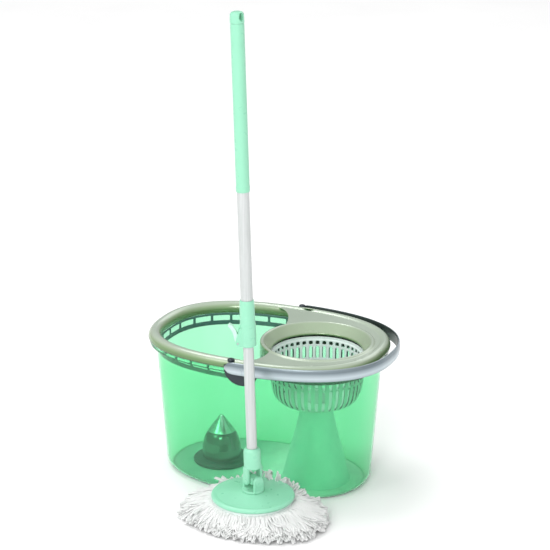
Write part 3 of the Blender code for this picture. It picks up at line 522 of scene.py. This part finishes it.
# ---------------------------------------------------------------- tub
def make_tub():
    """The tub's shell: up the outside, over the flange and down the inside, with a duller floor."""
    arc = [radians(a) for a in range(0, 91, 10)]
    outer = [(-TUB_CORNER * (1 - sin(a)), TUB_CORNER * (1 - cos(a))) for a in arc]
    inner_corner = TUB_CORNER - TUB_WALL
    inner = [
        (-TUB_WALL - inner_corner * (1 - sin(a)), TUB_WALL + inner_corner * (1 - cos(a)))
        for a in reversed(arc)
    ]
    lip = [
        (0, FLANGE_LOW - 0.0015),
        (0.0006, FLANGE_LOW - 0.0004),
        (0.0016, FLANGE_LOW),
        (FLANGE_REACH - 0.0018, FLANGE_LOW),
        (FLANGE_REACH - 0.0005, FLANGE_LOW + 0.0005),
        (FLANGE_REACH, FLANGE_LOW + 0.0018),
        (FLANGE_REACH, FLANGE_TOP - 0.0018),
        (FLANGE_REACH - 0.0005, FLANGE_TOP - 0.0005),
        (FLANGE_REACH - 0.0018, FLANGE_TOP),
        (-TUB_WALL + 0.0008, FLANGE_TOP),
        (-TUB_WALL, FLANGE_TOP - 0.0008),
    ]
    walls = [(0, z) for z in (0.06, 0.11, 0.16, 0.21)]
    inside = [(-TUB_WALL, z) for z in (0.21, 0.16, 0.11, 0.06)]
    rings = []
    for offset, z in outer + walls + lip + inside + inner:
        rings.append([(x, y, z) for x, y in oval(wall_shape(z), -offset)])
    tub = skin("tub_shell", rings, closed_path=False, capped=True)
    finish_piece(tub, CLEAR_GREEN, "bucket", "clear_green", "bucket_tub")
    tub.data.materials.append(GREEN_FLOOR)
    for face in tub.data.polygons:
        if face.center.z < FLOOR_LOOK_TOP:
            face.material_index = 1


# ---------------------------------------------------------------- frame
def web_edge(web, side):
    """The curved edge of the web at the back (side 1) or front (side -1), from rim to funnel."""
    leave, corner, meet = web
    length, width, power = WASH_CUT
    start = Vector((leave, side * width * (1 - abs(leave / length) ** power) ** (1 / power)))
    end = Vector((FUNNEL_X - FUNNEL_OUTER * cos(meet), side * FUNNEL_OUTER * sin(meet)))
    return [tuple(point) for point in curve(start, Vector(corner), end, 32)]


def wash_outline():
    """The wash opening: oval on the left, hollowed by the funnel on the right, with a web at either end."""
    length, _, power = WASH_CUT
    start = np.arccos(-(abs(WEB_BACK[0] / length) ** (power / 2)))
    end = tau - np.arccos(-(abs(WEB_FRONT[0] / length) ** (power / 2)))
    rim_side = oval_at(WASH_CUT, np.linspace(start, end, 97))
    hollow = [
        (FUNNEL_X + FUNNEL_OUTER * cos(a), FUNNEL_OUTER * sin(a))
        for a in np.linspace(pi + WEB_FRONT[2], pi - WEB_BACK[2], 41)
    ]
    return rim_side + web_edge(WEB_FRONT, -1)[1:-1] + hollow + web_edge(WEB_BACK, 1)[::-1][1:-1]


def prism(name, outline, low, high):
    """An (x, y) outline extruded upwards."""
    rings = [[(x, y, z) for x, y in outline] for z in (low, high)]
    return skin(name, rings, closed_path=False, capped=True)


def make_frame():
    """The rounded channel over the tub's flange, with the deck and the basket's funnel joined to it."""
    low = FLANGE_TOP + GAP
    # the channel's section as (inset, height): outer roll, fall to the inner edge, then the underside
    inset, crest = RIM_CREST
    turns = np.radians(np.arange(90, -1, -6))
    section = [(inset * (1 - sin(a)), crest - RIM_OUTER_FALL * (1 - cos(a))) for a in turns]
    reach, fall = RIM_INNER_EDGE[0] - inset, crest - RIM_INNER_EDGE[1]
    section += [(inset + reach * sin(a), crest - fall * (1 - cos(a))) for a in turns[::-1][1:]]
    section += [(RIM_INNER_EDGE[0], LIP_LOW), (LIP_INSET, LIP_LOW), (LIP_INSET, low), (0.0160, low)]
    section += [(0.0160, 0.2740), (inset, crest - 0.0030), (0.0060, 0.2765), (0.0042, 0.2710)]
    section += [(0.0042, low), (0.0015, low)]
    rim = skin("rim_moulding", [[(x, y, z) for x, y in oval(RIM, inset)] for inset, z in section])
    deck = prism("deck", oval(RIM, DECK_INSET), DECK_TOP - DECK_THICK, DECK_TOP)
    roll = 0.004
    hole = FUNNEL_OUTER - roll
    well = turned("hole", [(0, 0.2), (hole, 0.2), (hole, 0.3), (0, 0.3)], (FUNNEL_X, 0, 0))
    combine(deck, well, "DIFFERENCE")
    ring = [(FUNNEL_OUTER, FUNNEL_LOW)]
    for a in np.radians(range(0, 136, 15)):
        ring.append((FUNNEL_OUTER - roll + roll * cos(a), FUNNEL_CREST - roll + roll * sin(a)))
    ring += [
        (FUNNEL_MOUTH + 0.001, FUNNEL_MOUTH_Z + 0.0005),
        (FUNNEL_MOUTH, FUNNEL_MOUTH_Z - 0.001),
        (FUNNEL_MOUTH, FUNNEL_MOUTH_Z - 0.004),
        (FUNNEL_MOUTH + 0.003, FUNNEL_MOUTH_Z - 0.004),
        (FUNNEL_OUTER - 0.0035, FUNNEL_CREST - 0.0075),
        (FUNNEL_OUTER - 0.0030, FUNNEL_LOW),
    ]
    combine(deck, turned("ring", ring, (FUNNEL_X, 0, 0), 128), "UNION")
    combine(deck, prism("wash", wash_outline(), 0.2, 0.3), "DIFFERENCE")
    combine(rim, deck, "UNION")
    for side in (-1, 1):
        near, far = sorted((side * NOTCH_INSIDE, side * 0.2))
        left, right = NOTCH_ENDS
        notch = [(left, near), (right, near), (right, far), (left, far)]
        combine(rim, prism("notch", notch, 0.25, NOTCH_TOP), "DIFFERENCE")
        slot = [
            (RIM_SLOT[0] + RIM_SLOT_HALF[0] * cos(a), side * RIM_SLOT[1] + RIM_SLOT_HALF[1] * sin(a))
            for a in np.arange(24) * tau / 24
        ]
        combine(rim, prism("slot", slot, RIM_SLOT_FLOOR, 0.3), "DIFFERENCE")
    moulded(rim, 0.0012, 8)
    finish_piece(rim, KHAKI, "bucket", "khaki", "rim_frame", sharp=pi)


# ---------------------------------------------------------------- basket
def make_basket():
    """The slotted wall: a grid outside and one inside, with slots that open out towards the inside."""
    # radius and height of each row, from the middle of the floor to the lip
    rows = [
        (0.0112, 0.1580), (0.0300, 0.1580), (0.0480, 0.1580), (0.0560, 0.1588), (0.0620, 0.1600),
        (0.0670, 0.1622), (0.0710, 0.1646), (0.0745, 0.1676), (0.0772, 0.1702), (0.0800, 0.1745),
        (0.0826, 0.1805), (0.0842, 0.1890), (0.0850, 0.1975), (0.0856, 0.2050), (0.0858, 0.2110),
        (0.0859, 0.2150), (0.0860, 0.2250), (0.0862, 0.2390), (0.0864, 0.2425), (0.0865, 0.2495),
        (0.0867, 0.2515), (0.0872, 0.2527), (0.0885, 0.2535), (0.0886, 0.2568), (0.0878, 0.2575),
    ]
    slot_rows = (*range(6, 14), 15, 16, 18)
    line = np.array(rows)
    run = np.gradient(line, axis=0)
    run /= np.linalg.norm(run, axis=1)[:, None]
    thick = np.interp(line[:, 0], (0.050, 0.075), (0.0025, BASKET_WALL))
    inner_rows = line + np.stack((-thick * run[:, 1], thick * run[:, 0]), axis=1)
    upright = line[:, 1] > 0.195
    inner_rows[upright] = line[upright] - (BASKET_WALL, 0)
    pitch = tau / BASKET_SLOTS
    # where the columns stand within one pitch. A slot takes the two cells in the middle.
    outer_edges = np.array([-0.5, -0.25, -0.19, 0.0, 0.19, 0.25])
    inner_edges = np.array([-0.5, -0.37, -0.31, 0.0, 0.31, 0.37])
    cells = len(outer_edges)
    slot_cells = (2, 3)
    columns = BASKET_SLOTS * cells
    bm = bmesh.new()

    def grid(edges, points):
        angles = [(i + 0.5) * pitch + e * pitch for i in range(BASKET_SLOTS) for e in edges]
        return [[bm.verts.new((FUNNEL_X + r * cos(a), r * sin(a), z)) for a in angles] for r, z in points]

    def solid(k, i):
        if not 0 <= k < len(rows) - 1:
            return False
        return not (i % cells in slot_cells and k in slot_rows)

    outer, inner = grid(outer_edges, rows), grid(inner_edges, inner_rows)
    for k in range(len(rows) - 1):
        for i in range(columns):
            if not solid(k, i):
                continue
            j = (i + 1) % columns
            bm.faces.new((outer[k][i], outer[k][j], outer[k + 1][j], outer[k + 1][i]))
            bm.faces.new((inner[k][j], inner[k][i], inner[k + 1][i], inner[k + 1][j]))
            for beside, a, b in (((k, i - 1), (k, i), (k + 1, i)), ((k, i + 1), (k, j), (k + 1, j))):
                if not solid(beside[0], beside[1] % columns):
                    side = (outer[a[0]][a[1]], outer[b[0]][b[1]], inner[b[0]][b[1]], inner[a[0]][a[1]])
                    # a slot's side face takes the dark copy of the white: painted shade between the ribs
                    bm.faces.new(side).material_index = 1
            for beside, row in ((k - 1, k), (k + 1, k + 1)):
                if not solid(beside, i):
                    bm.faces.new((outer[row][i], outer[row][j], inner[row][j], inner[row][i]))
    wall = from_bmesh("basket_wall", bm)
    smooth = wall.modifiers.new("ease", "SUBSURF")
    smooth.levels = smooth.render_levels = 1
    wall.data.materials.append(WHITE)
    wall.data.materials.append(SLOT_PAINTED_SHADE)
    applied(wall)
    sides = [face.material_index for face in wall.data.polygons]
    finish_piece(wall, WHITE, "basket", "white", "spin_basket", sharp=pi)
    wall.data.materials.append(SLOT_PAINTED_SHADE)
    wall.data.polygons.foreach_set("material_index", sides)


def make_pedestal():
    """The milky pedestal: a thin tapered shell with a flat top round the spindle."""
    outside = [
        (0.066, TUB_WALL + GAP), (0.0625, 0.012), (0.0510, 0.060), (0.0393, 0.105), (0.0330, 0.134),
        (0.0305, 0.1500),
    ]
    profile = outside + [(0.029, PEDESTAL_TOP), (0.0043, PEDESTAL_TOP), (0.0043, PEDESTAL_TOP - 0.010)]
    profile += [(0.026, PEDESTAL_TOP - 0.010)] + [(r - 0.0025, z) for r, z in reversed(outside[:-1])]
    pedestal = turned("pedestal_shell", rounded(profile, 0.002), (FUNNEL_X, 0, 0))
    finish_piece(pedestal, MILKY, "bucket", "milky", "pedestal_cone")


def make_wash_pivot():
    """The polished dome and the cone on it, over a dark flange and post."""
    dome = [
        (0.0365, 0.0120), (0.0375, 0.0200), (0.0370, 0.0340), (0.0345, 0.0470), (0.0300, 0.0580),
        (0.0258, 0.0645), (0.0043, 0.0645), (0.0043, 0.0430), (0.0120, 0.0430), (0.0130, 0.0560),
        (0.0230, 0.0600), (0.0320, 0.0460), (0.0345, 0.0340), (0.0350, 0.0120),
    ]
    radii = [0.0006, 0.02, 0.02, 0.02, 0.02, 0.001] + [0.0] * 7 + [0.0006]
    made = turned("pivot_dome", rounded(dome, radii), (PIVOT_X, 0, 0), 128)
    finish_piece(made, GLOSS_DARK, "wash_pivot", "chrome", "wash_pivot_dome")
    cone = [(0, 0.0648), (0.0262, 0.0648), (0.0268, 0.0662), (0.0035, 0.0960), (0, 0.0970)]
    made = turned("pivot_cone", rounded(cone, [0.0, 0.0004, 0.0008, 0.002, 0.0]), (PIVOT_X, 0, 0), 128)
    finish_piece(made, CHROME, "wash_pivot", "chrome", "wash_pivot_cone")
    low = TUB_WALL + GAP
    base = [
        (0.0043, low), (0.055, low), (0.055, 0.0070), (0.051, 0.0100), (0.0400, 0.0110), (0.0100, 0.0110),
        (0.0090, 0.0400), (0.0043, 0.0400),
    ]
    made = turned("pivot_base", rounded(base, 0.0015), (PIVOT_X, 0, 0), 128)
    finish_piece(made, DARK, "bucket", "dark", "wash_pivot_base")


# ---------------------------------------------------------------- bail
def make_bail():
    """The silver band round the basket's end, with a rounded tail at either side."""
    section = (
        (0.0, -0.92), (0.0006, -0.99), (0.0014, -1.0), (0.0023, -0.96), (0.0029, -0.86), (0.0038, -0.5),
        (0.0042, 0.0), (0.0038, 0.5), (0.0029, 0.86), (0.0023, 0.96), (0.0014, 1.0), (0.0006, 0.99),
        (0.0, 0.92), (0.0, 0.5), (0.0, 0.0), (0.0, -0.5),
    )
    length, width, power = BAIL_INSIDE
    last = pi - np.arccos(((BAIL_TAIL - BAIL_PIVOT.x) / length) ** (power / 2))
    rings = []
    middle = (BAIL_TOP + BAIL_LOW) / 2
    for angle in np.linspace(-last, last, 221):
        ((x, y),) = oval_at(BAIL_INSIDE, [angle])
        slope_x = np.sign(x) * abs(x / length) ** (power - 1) / length
        slope_y = np.sign(y) * abs(y / width) ** (power - 1) / width
        slope = Vector((slope_x, slope_y)).normalized()
        run = x - (BAIL_PIVOT.x - BAIL_TAIL)
        share = min(1.0, max(0.0, run / BAIL_TAIL_ROUND))
        half = (BAIL_TOP - BAIL_LOW) / 2 * (0.30 + 0.70 * sqrt(1 - (1 - share) ** 2))
        ring = []
        for out, up in section:
            point = Vector((x, y)) + slope * out
            ring.append((point.x, point.y, middle + up * half))
        rings.append(ring)
    band = skin("bail_band", rings, closed_path=False, capped=True)
    finish_piece(band, SILVER, "bail", "silver", "bail_handle", sharp=radians(60))
    # faces on the band's inner side take the dark copy of the silver: painted shade
    band.data.materials.append(BAIL_PAINTED_SHADE)
    for face in band.data.polygons:
        outward = Vector((face.center.x / length**2, face.center.y / width**2))
        if face.normal.xy.dot(outward) < 0 and abs(face.normal.z) < 0.7:
            face.material_index = 1


def make_hinge_tops():
    """The dark knuckle that shows over the rim beside each end of the bail."""
    x, y, z = KNUCKLE
    knob = [
        (0, 0.0038), (0.0030, 0.0035), (0.0055, 0.0024), (0.0066, 0.0006), (0.0066, -0.0025), (0, -0.0025),
    ]
    for name, side in (("hinge_top_front", -1), ("hinge_top_back", 1)):
        top = turned(name, knob, (x, side * y, z))
        finish_piece(top, DARK, "bucket", "dark")


# ---------------------------------------------------------------- mop head
def make_plate():
    """The mint disc: a flat underside, a rolled edge, and a shallow rise to its hub."""
    under, edge = PLATE_UNDER, PLATE_RADIUS
    profile = [(0, under), (edge - 0.0030, under), (edge - 0.0004, under + 0.0020), (edge, under + 0.0045)]
    profile += [(edge - 0.0006, under + 0.0070), (edge - 0.0030, under + 0.0088)]
    profile += [(edge - 0.0060, under + 0.0090), (edge - 0.0100, under + 0.0084)]
    profile += [(0.040, 0.0572), (0.0245, 0.0596), (0.0220, PLATE_HUB_TOP), (0, PLATE_HUB_TOP)]
    plate = turned("plate_disc", rounded(profile, [0.0] + [0.003] * 10 + [0.0]), MOP, 160)
    finish_piece(plate, MINT, "mop_head", "mint", "mop_plate")


def yarn_reach(angle):
    """How far the fringe reaches in a direction: held back by the bucket, and as it would freely."""
    c, s = cos(angle), sin(angle)
    forward = YARN_FRONT if s < 0 else YARN_SIDE
    round_reach = 1 / sqrt((c / YARN_SIDE) ** 2 + (s / forward) ** 2)
    if s <= 0:
        return round_reach, round_reach
    free = 1 / ((1 / round_reach) ** 8 + (s / YARN_BACK) ** 8) ** (1 / 8)
    return free, round_reach


def strand_path(angle, layer, count):
    """The centre line of one loop of yarn: out from the plate, round at its tip, and back beside itself."""
    free, natural = yarn_reach(angle)
    level = layer / (YARN_LAYERS - 1)
    # where the loop starts and ends, and how much of it the bucket holds back
    start = 0.060 + 0.008 * level
    tip = free * (1.0 - 0.05 * level) - 0.003 - abs(rng.normal(0, 0.0045))
    spare = max(0.0, natural - free)
    # how it strays sideways, and half its width
    curl = rng.normal(0, 0.010)
    drift = rng.normal(0, 0.0028)
    half = 0.0021 + rng.uniform(-0.0003, 0.0005)
    # how high it starts and ends, and how far it stands up on the way
    rise = 0.0385 if level > 0.5 else 0.030 + 0.012 * level
    tip_z = 0.0035 + 0.0165 * level + rng.uniform(0, 0.004)
    lift = spare * (0.30 + 0.50 * level) * rng.uniform(0.7, 1.0)
    lift += 0.010 * level * (rng.uniform(0, 1) > 0.95)
    crown = 0.004 * level * rng.uniform(0.6, 1.4)
    wave_a, wave_b = rng.uniform(0, tau, 2)
    points = []
    legs = count // 2
    for k in range(count):
        side = -1 if k < legs else 1
        t = k / (legs - 1) if k < legs else (count - 1 - k) / (legs - 1)
        r = start + (tip - start) * t
        fall = t**1.7
        z = rise + (tip_z - rise) * fall + crown * sin(pi * min(1.0, t * 1.6)) + lift * t**2.5
        across = side * half * (0.75 + 0.55 * sin(pi * t) + 0.15 * t) * min(1.0, (1.04 - t) * 9 + 0.12)
        across += drift * sin(wave_a + 5 * t) * t + curl * t**3
        z += 0.0014 * sin(wave_b + 7 * t + side) * t
        x = r * cos(angle) - across * sin(angle)
        y = min(r * sin(angle) + across * cos(angle), YARN_BACK - 0.003)
        points.append((MOP.x + x, MOP.y + y, max(z, 0.0024)))
    return np.array(points)


def strands_mesh(name, paths, radii, sides=5):
    """Tubes along paths, in one mesh, with each strand's length and turn as its own coordinates."""
    verts, faces, strand = [], [], []
    base = 0
    around = np.arange(sides) * tau / sides
    corners = ((0, 0), (0, 1), (1, 1), (1, 0))
    for path, radius in zip(paths, radii):
        ahead = np.roll(path, -1, 0)
        behind = np.roll(path, 1, 0)
        ahead[-1], behind[0] = path[-1], path[0]
        along = ahead - behind
        along /= np.linalg.norm(along, axis=1)[:, None] + 1e-12
        side = np.cross(along, (0.05, 0.03, 1.0))
        side /= np.linalg.norm(side, axis=1)[:, None] + 1e-12
        up = np.cross(side, along)
        count = len(path)
        length = np.concatenate(([0], np.cumsum(np.linalg.norm(np.diff(path, axis=0), axis=1))))
        thick = radius * (1 + 0.16 * np.sin(length / 0.0042 + base))
        ring = side[:, None] * np.cos(around)[None, :, None] + up[:, None] * np.sin(around)[None, :, None]
        verts.append((path[:, None] + ring * thick[:, None, None]).reshape(-1, 3))
        k, i = np.meshgrid(np.arange(count - 1), np.arange(sides), indexing="ij")
        quad = np.stack([(k + dk) * sides + (i + di) % sides for dk, di in corners], -1)
        faces.append(quad.reshape(-1, 4) + base)
        turn = radius * tau / sides
        along_and_round = [np.stack([length[k + dk], (i + di) * turn], -1) for dk, di in corners]
        strand.append(np.stack(along_and_round, -2).reshape(-1, 2))
        base += count * sides
    mesh = bpy.data.meshes.new(name)
    mesh.from_pydata(np.concatenate(verts).tolist(), [], np.concatenate(faces).tolist())
    layer = mesh.uv_layers.new(name="strand")
    layer.data.foreach_set("uv", np.concatenate(strand).ravel().astype(np.float32))
    mesh.update()
    return new_object(name, mesh)


def yarn_core():
    """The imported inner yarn, which closes the gaps between the loops."""
    rings = []
    steps = ((0.030, 0.004), (0.016, 0.008), (0.018, 0.013), (0.030, 0.022), (0.048, 0.031), (0.066, 0.037))
    for inset, z in steps:
        ring = []
        for angle in np.arange(120) * tau / 120:
            reach = max(0.050, yarn_reach(angle)[0] - inset) + 0.0012 * sin(37 * angle)
            ring.append((MOP.x + reach * cos(angle), MOP.y + min(reach * sin(angle), YARN_BACK - 0.008), z))
        rings.append(ring)
    core = skin("yarn_core", rings, closed_path=False, capped=True)
    core.data.uv_layers.new(name="strand")
    return core


def make_yarn():
    """The fringe: layers of loops round the plate, over a packed core."""
    paths, radii = [], []
    for layer in range(YARN_LAYERS):
        for i in range(YARN_LOOPS):
            angle = (i + 0.5 * (layer % 2) + rng.uniform(-0.28, 0.28)) * tau / YARN_LOOPS
            paths.append(strand_path(angle, layer, 26))
            radii.append(rng.uniform(0.0013, 0.0018))
    fringe = strands_mesh("yarn_fringe", paths, radii)
    core = yarn_core()
    with bpy.context.temp_override(active_object=fringe, selected_editable_objects=[fringe, core]):
        bpy.ops.object.join()
    finish_piece(fringe, YARN, "mop_head", "yarn", "mop_yarn", sharp=pi)


# ---------------------------------------------------------------- pole
def pole_turn():
    """The frame of the leaning pole: its third axis runs up along it."""
    first = Vector((cos(radians(-28)), sin(radians(-28)), 0))
    second = POLE_LEAN.cross(first).normalized()
    return Matrix((second.cross(POLE_LEAN), second, POLE_LEAN)).transposed()


def make_pole():
    """The two steel tubes and the long grip."""
    turn = pole_turn()

    def along_pole(name, profile, look, body, slot, node, radii=0.0004):
        made = turned(name, rounded(profile, radii), JOINT, 64, turn)
        return finish_piece(made, look, body, slot, node)

    for name, node, body, (low, high, radius) in (
        ("inner_tube", "lower_tube", "lower_pole", LOWER_TUBE),
        ("outer_tube", "upper_tube", "upper_pole", UPPER_TUBE),
    ):
        inside = radius - 0.0008
        wall = [(inside, low), (radius, low), (radius, high), (inside, high)]
        along_pole(name, wall, STEEL, body, "steel", node, 0.0002)
    bore = UPPER_TUBE[2] + GAP
    grip = [
        (bore, GRIP_BOTTOM), (0.0118, GRIP_BOTTOM), (0.0124, GRIP_BOTTOM + 0.002),
        (0.0125, GRIP_BOTTOM + 0.009), (0.0121, GRIP_BOTTOM + 0.011), (0.0122, GRIP_TOP - 0.004),
        (0.0118, GRIP_TOP - GAP), (bore, GRIP_TOP - GAP),
    ]
    along_pole("grip_tube", grip, MINT, "upper_pole", "mint", "grip_sleeve", 0.0008)


def on_pole(angle):
    """The pole's frame, placed on the joint and turned about the pole."""
    return Matrix.Translation(JOINT) @ pole_turn().to_4x4() @ Matrix.Rotation(angle, 4, "Z")


def make_hang_cap():
    """The end cap, with an oval hole through it to hang the mop by."""
    bore, tube_end = UPPER_TUBE[2] + GAP, UPPER_TUBE[1] + GAP
    profile = [
        (0, tube_end), (bore, tube_end), (bore, GRIP_TOP), (0.0122, GRIP_TOP),
        (0.0125, GRIP_TOP + 0.001), (0.0121, CAP_TOP - 0.0050), (0.0100, CAP_TOP - 0.0015),
        (0.0055, CAP_TOP), (0, CAP_TOP),
    ]
    cap = turned("hang_cap_moulding", profile, JOINT, 64, pole_turn())
    wide, high = HANG_HOLE_HALF
    edge = [(wide * cos(a), HANG_HOLE_UP + high * sin(a)) for a in np.arange(32) * tau / 32]
    rings = [[(x, y, z) for y, z in edge] for x in (-0.02, 0.02)]
    hole = skin("hole", rings, closed_path=False, capped=True)
    hole.data.transform(on_pole(HANG_HOLE_TURN))
    combine(cap, hole, "DIFFERENCE")
    moulded(cap, 0.0004, 4)
    finish_piece(cap, MINT, "upper_pole", "mint", "hang_cap", sharp=pi)


def side_prism(name, outline, near, far):
    """An outline of points (out from the pole, up along it), extruded across the collar's lever."""
    rings = [[(x, y, z) for x, z in outline] for y in (near, far)]
    made = skin(name, rings, closed_path=False, capped=True)
    made.data.transform(on_pole(CLAMP_TURN))
    return made


def round_lever(radius, angles):
    """Points round the lever's pin."""
    return [(LEVER_OUT + radius * cos(a), LEVER_UP + radius * sin(a)) for a in angles]


def make_clamp():
    """The collar with a sloping cheek on either side of its lever, and the lever's curved blade."""
    collar = new_object("clamp_collar_moulding", NODES["clamp_collar"].data.copy())
    cheek = [(0.0118, 0.2602), (0.0222, 0.2602), (0.0226, 0.2700), (0.0150, 0.2940), (0.0118, 0.2940)]
    cheek = rounded(cheek, 0.002)
    for side in (-1, 1):
        near, far = sorted((side * 0.0062, side * 0.0088))
        combine(collar, side_prism("cheek", cheek, near, far), "UNION")
    bore = round_lever(LEVER_BORE, np.arange(24) * tau / 24)
    combine(collar, side_prism("bore", bore, -0.012, 0.012), "DIFFERENCE")
    moulded(collar, 0.0004, 5)
    finish_piece(collar, MINT, "upper_pole", "mint", "clamp_collar", sharp=pi)
    spine = (
        (0.0, 0.0), (0.0022, 0.008), (0.0036, 0.016), (0.0062, 0.024), (0.0110, 0.031), (0.0150, 0.0345),
    )
    half = (0.0036, 0.0036, 0.0036, 0.0034, 0.0030, 0.0020)
    outer, inner = [], []
    for i, (x, z) in enumerate(spine):
        along = (Vector(spine[min(i + 1, 5)]) - Vector(spine[max(i - 1, 0)])).normalized()
        outer.append((LEVER_OUT + x + along.y * half[i], LEVER_UP + z - along.x * half[i]))
        inner.append((LEVER_OUT + x - along.y * half[i], LEVER_UP + z + along.x * half[i]))
    heel = round_lever(0.0034, np.linspace(pi * 1.15, pi * 1.85, 6))
    lever = side_prism("lock_lever_moulding", heel + outer + inner[::-1], -0.0058, 0.0058)
    combine(lever, side_prism("bore", bore, -0.012, 0.012), "DIFFERENCE")
    moulded(lever, 0.0003, 8)
    finish_piece(lever, PALE_MINT, "lock_lever", "mint", "lock_lever", sharp=pi)


make_tub()
make_frame()
make_basket()
make_pedestal()
make_wash_pivot()
make_bail()
make_hinge_tops()
make_plate()
make_yarn()
make_pole()
make_hang_cap()
make_clamp()
for node, voxel, rounds, look, body, slot in (
    ("splash_skirt", 0.0007, 3, SMOKE, "bucket", "dark"),
    ("hinge_boss_front", 0.0006, 4, DARK, "bucket", "dark"),
    ("hinge_boss_back", 0.0006, 4, DARK, "bucket", "dark"),
    ("plate_fork", 0.0004, 4, MINT, "mop_head", "mint"),
    ("joint_cross", 0.0004, 3, MINT, "joint_cross", "mint"),
    ("pole_socket", 0.0004, 5, MINT, "lower_pole", "mint"),
):
    moulded_copy(node, node + "_moulding", voxel, rounds, look, body, slot)


# ---------------------------------------------------------------- floor, light and camera
def make_stage():
    """A plain pale floor, and a soft sky that is brightest above the front left."""
    bm = bmesh.new()
    bmesh.ops.create_grid(bm, x_segments=8, y_segments=8, size=40)
    floor = from_bmesh("studio_floor", bm)
    look = Look("white_floor", Roughness=0.9)
    look.colour(look.ramp(look.noise(3, 2), [(0.3, "F9F9F9"), (0.7, "FCFCFC")]))
    floor.data.materials.append(look.material)
    floor.location = (0, 0, -0.0002)
    world = bpy.data.worlds.new("studio")
    scene.world = world
    world.use_nodes = True
    tree = world.node_tree
    background = tree.nodes["Background"]
    sky = tree.nodes.new("ShaderNodeTexCoord")
    facing = tree.nodes.new("ShaderNodeVectorMath")
    facing.operation = "DOT_PRODUCT"
    facing.inputs[1].default_value = (0.25, -0.66, 0.71)
    tree.links.new(sky.outputs["Generated"], facing.inputs[0])
    ramp = tree.nodes.new("ShaderNodeValToRGB")
    for element, position, level in zip(ramp.color_ramp.elements, (0.0, 0.9), (0.45, 1.15)):
        element.position = position
        element.color = (level, level, level, 1.0)
    tree.links.new(facing.outputs["Value"], ramp.inputs["Fac"])
    tree.links.new(ramp.outputs["Color"], background.inputs["Color"])
    background.inputs["Strength"].default_value = 0.80


def area_light(name, at, aim, size, power):
    """A rectangular light at a point, turned towards another."""
    data = bpy.data.lights.new(name, "AREA")
    data.shape = "RECTANGLE"
    data.size, data.size_y = size
    data.energy = power
    obj = bpy.data.objects.new(name, data)
    obj.location = at
    obj.rotation_euler = (Vector(aim) - Vector(at)).to_track_quat("-Z", "Y").to_euler()
    scene.collection.objects.link(obj)


def make_camera():
    """The camera, set by the way it turns, looks down and rolls."""
    level = cos(CAMERA_RISE)
    back = Vector((sin(CAMERA_TURN) * level, -cos(CAMERA_TURN) * level, sin(CAMERA_RISE)))
    right = Vector((cos(CAMERA_TURN), sin(CAMERA_TURN), 0))
    across = right * cos(CAMERA_ROLL) + back.cross(right) * sin(CAMERA_ROLL)
    pose = Matrix((across, back.cross(across), back)).transposed().to_4x4()
    pose.translation = CAMERA_AT
    camera = bpy.data.objects.new("camera", bpy.data.cameras.new("camera"))
    scene.collection.objects.link(camera)
    camera.matrix_world = pose
    camera.data.sensor_width = 36
    camera.data.lens = CAMERA_LENS
    scene.camera = camera


make_stage()
area_light("key", (-1.5, -2.6, 2.7), (0, 0, 0.15), (1.4, 1.4), 20)
area_light("front", (0.8, -3.3, 2.3), (0, 0, 0.25), (1.1, 1.1), 46)
area_light("back", (0.4, 3.0, 2.6), (0, 0, 0.25), (3.0, 1.5), 22)
sun = bpy.data.objects.new("overhead", bpy.data.lights.new("overhead", "SUN"))
sun.data.energy = 1.1
sun.data.angle = radians(30)
sun.rotation_euler = (radians(-6), radians(-24), 0)
scene.collection.objects.link(sun)
make_camera()
scene.view_settings.view_transform = "Standard"
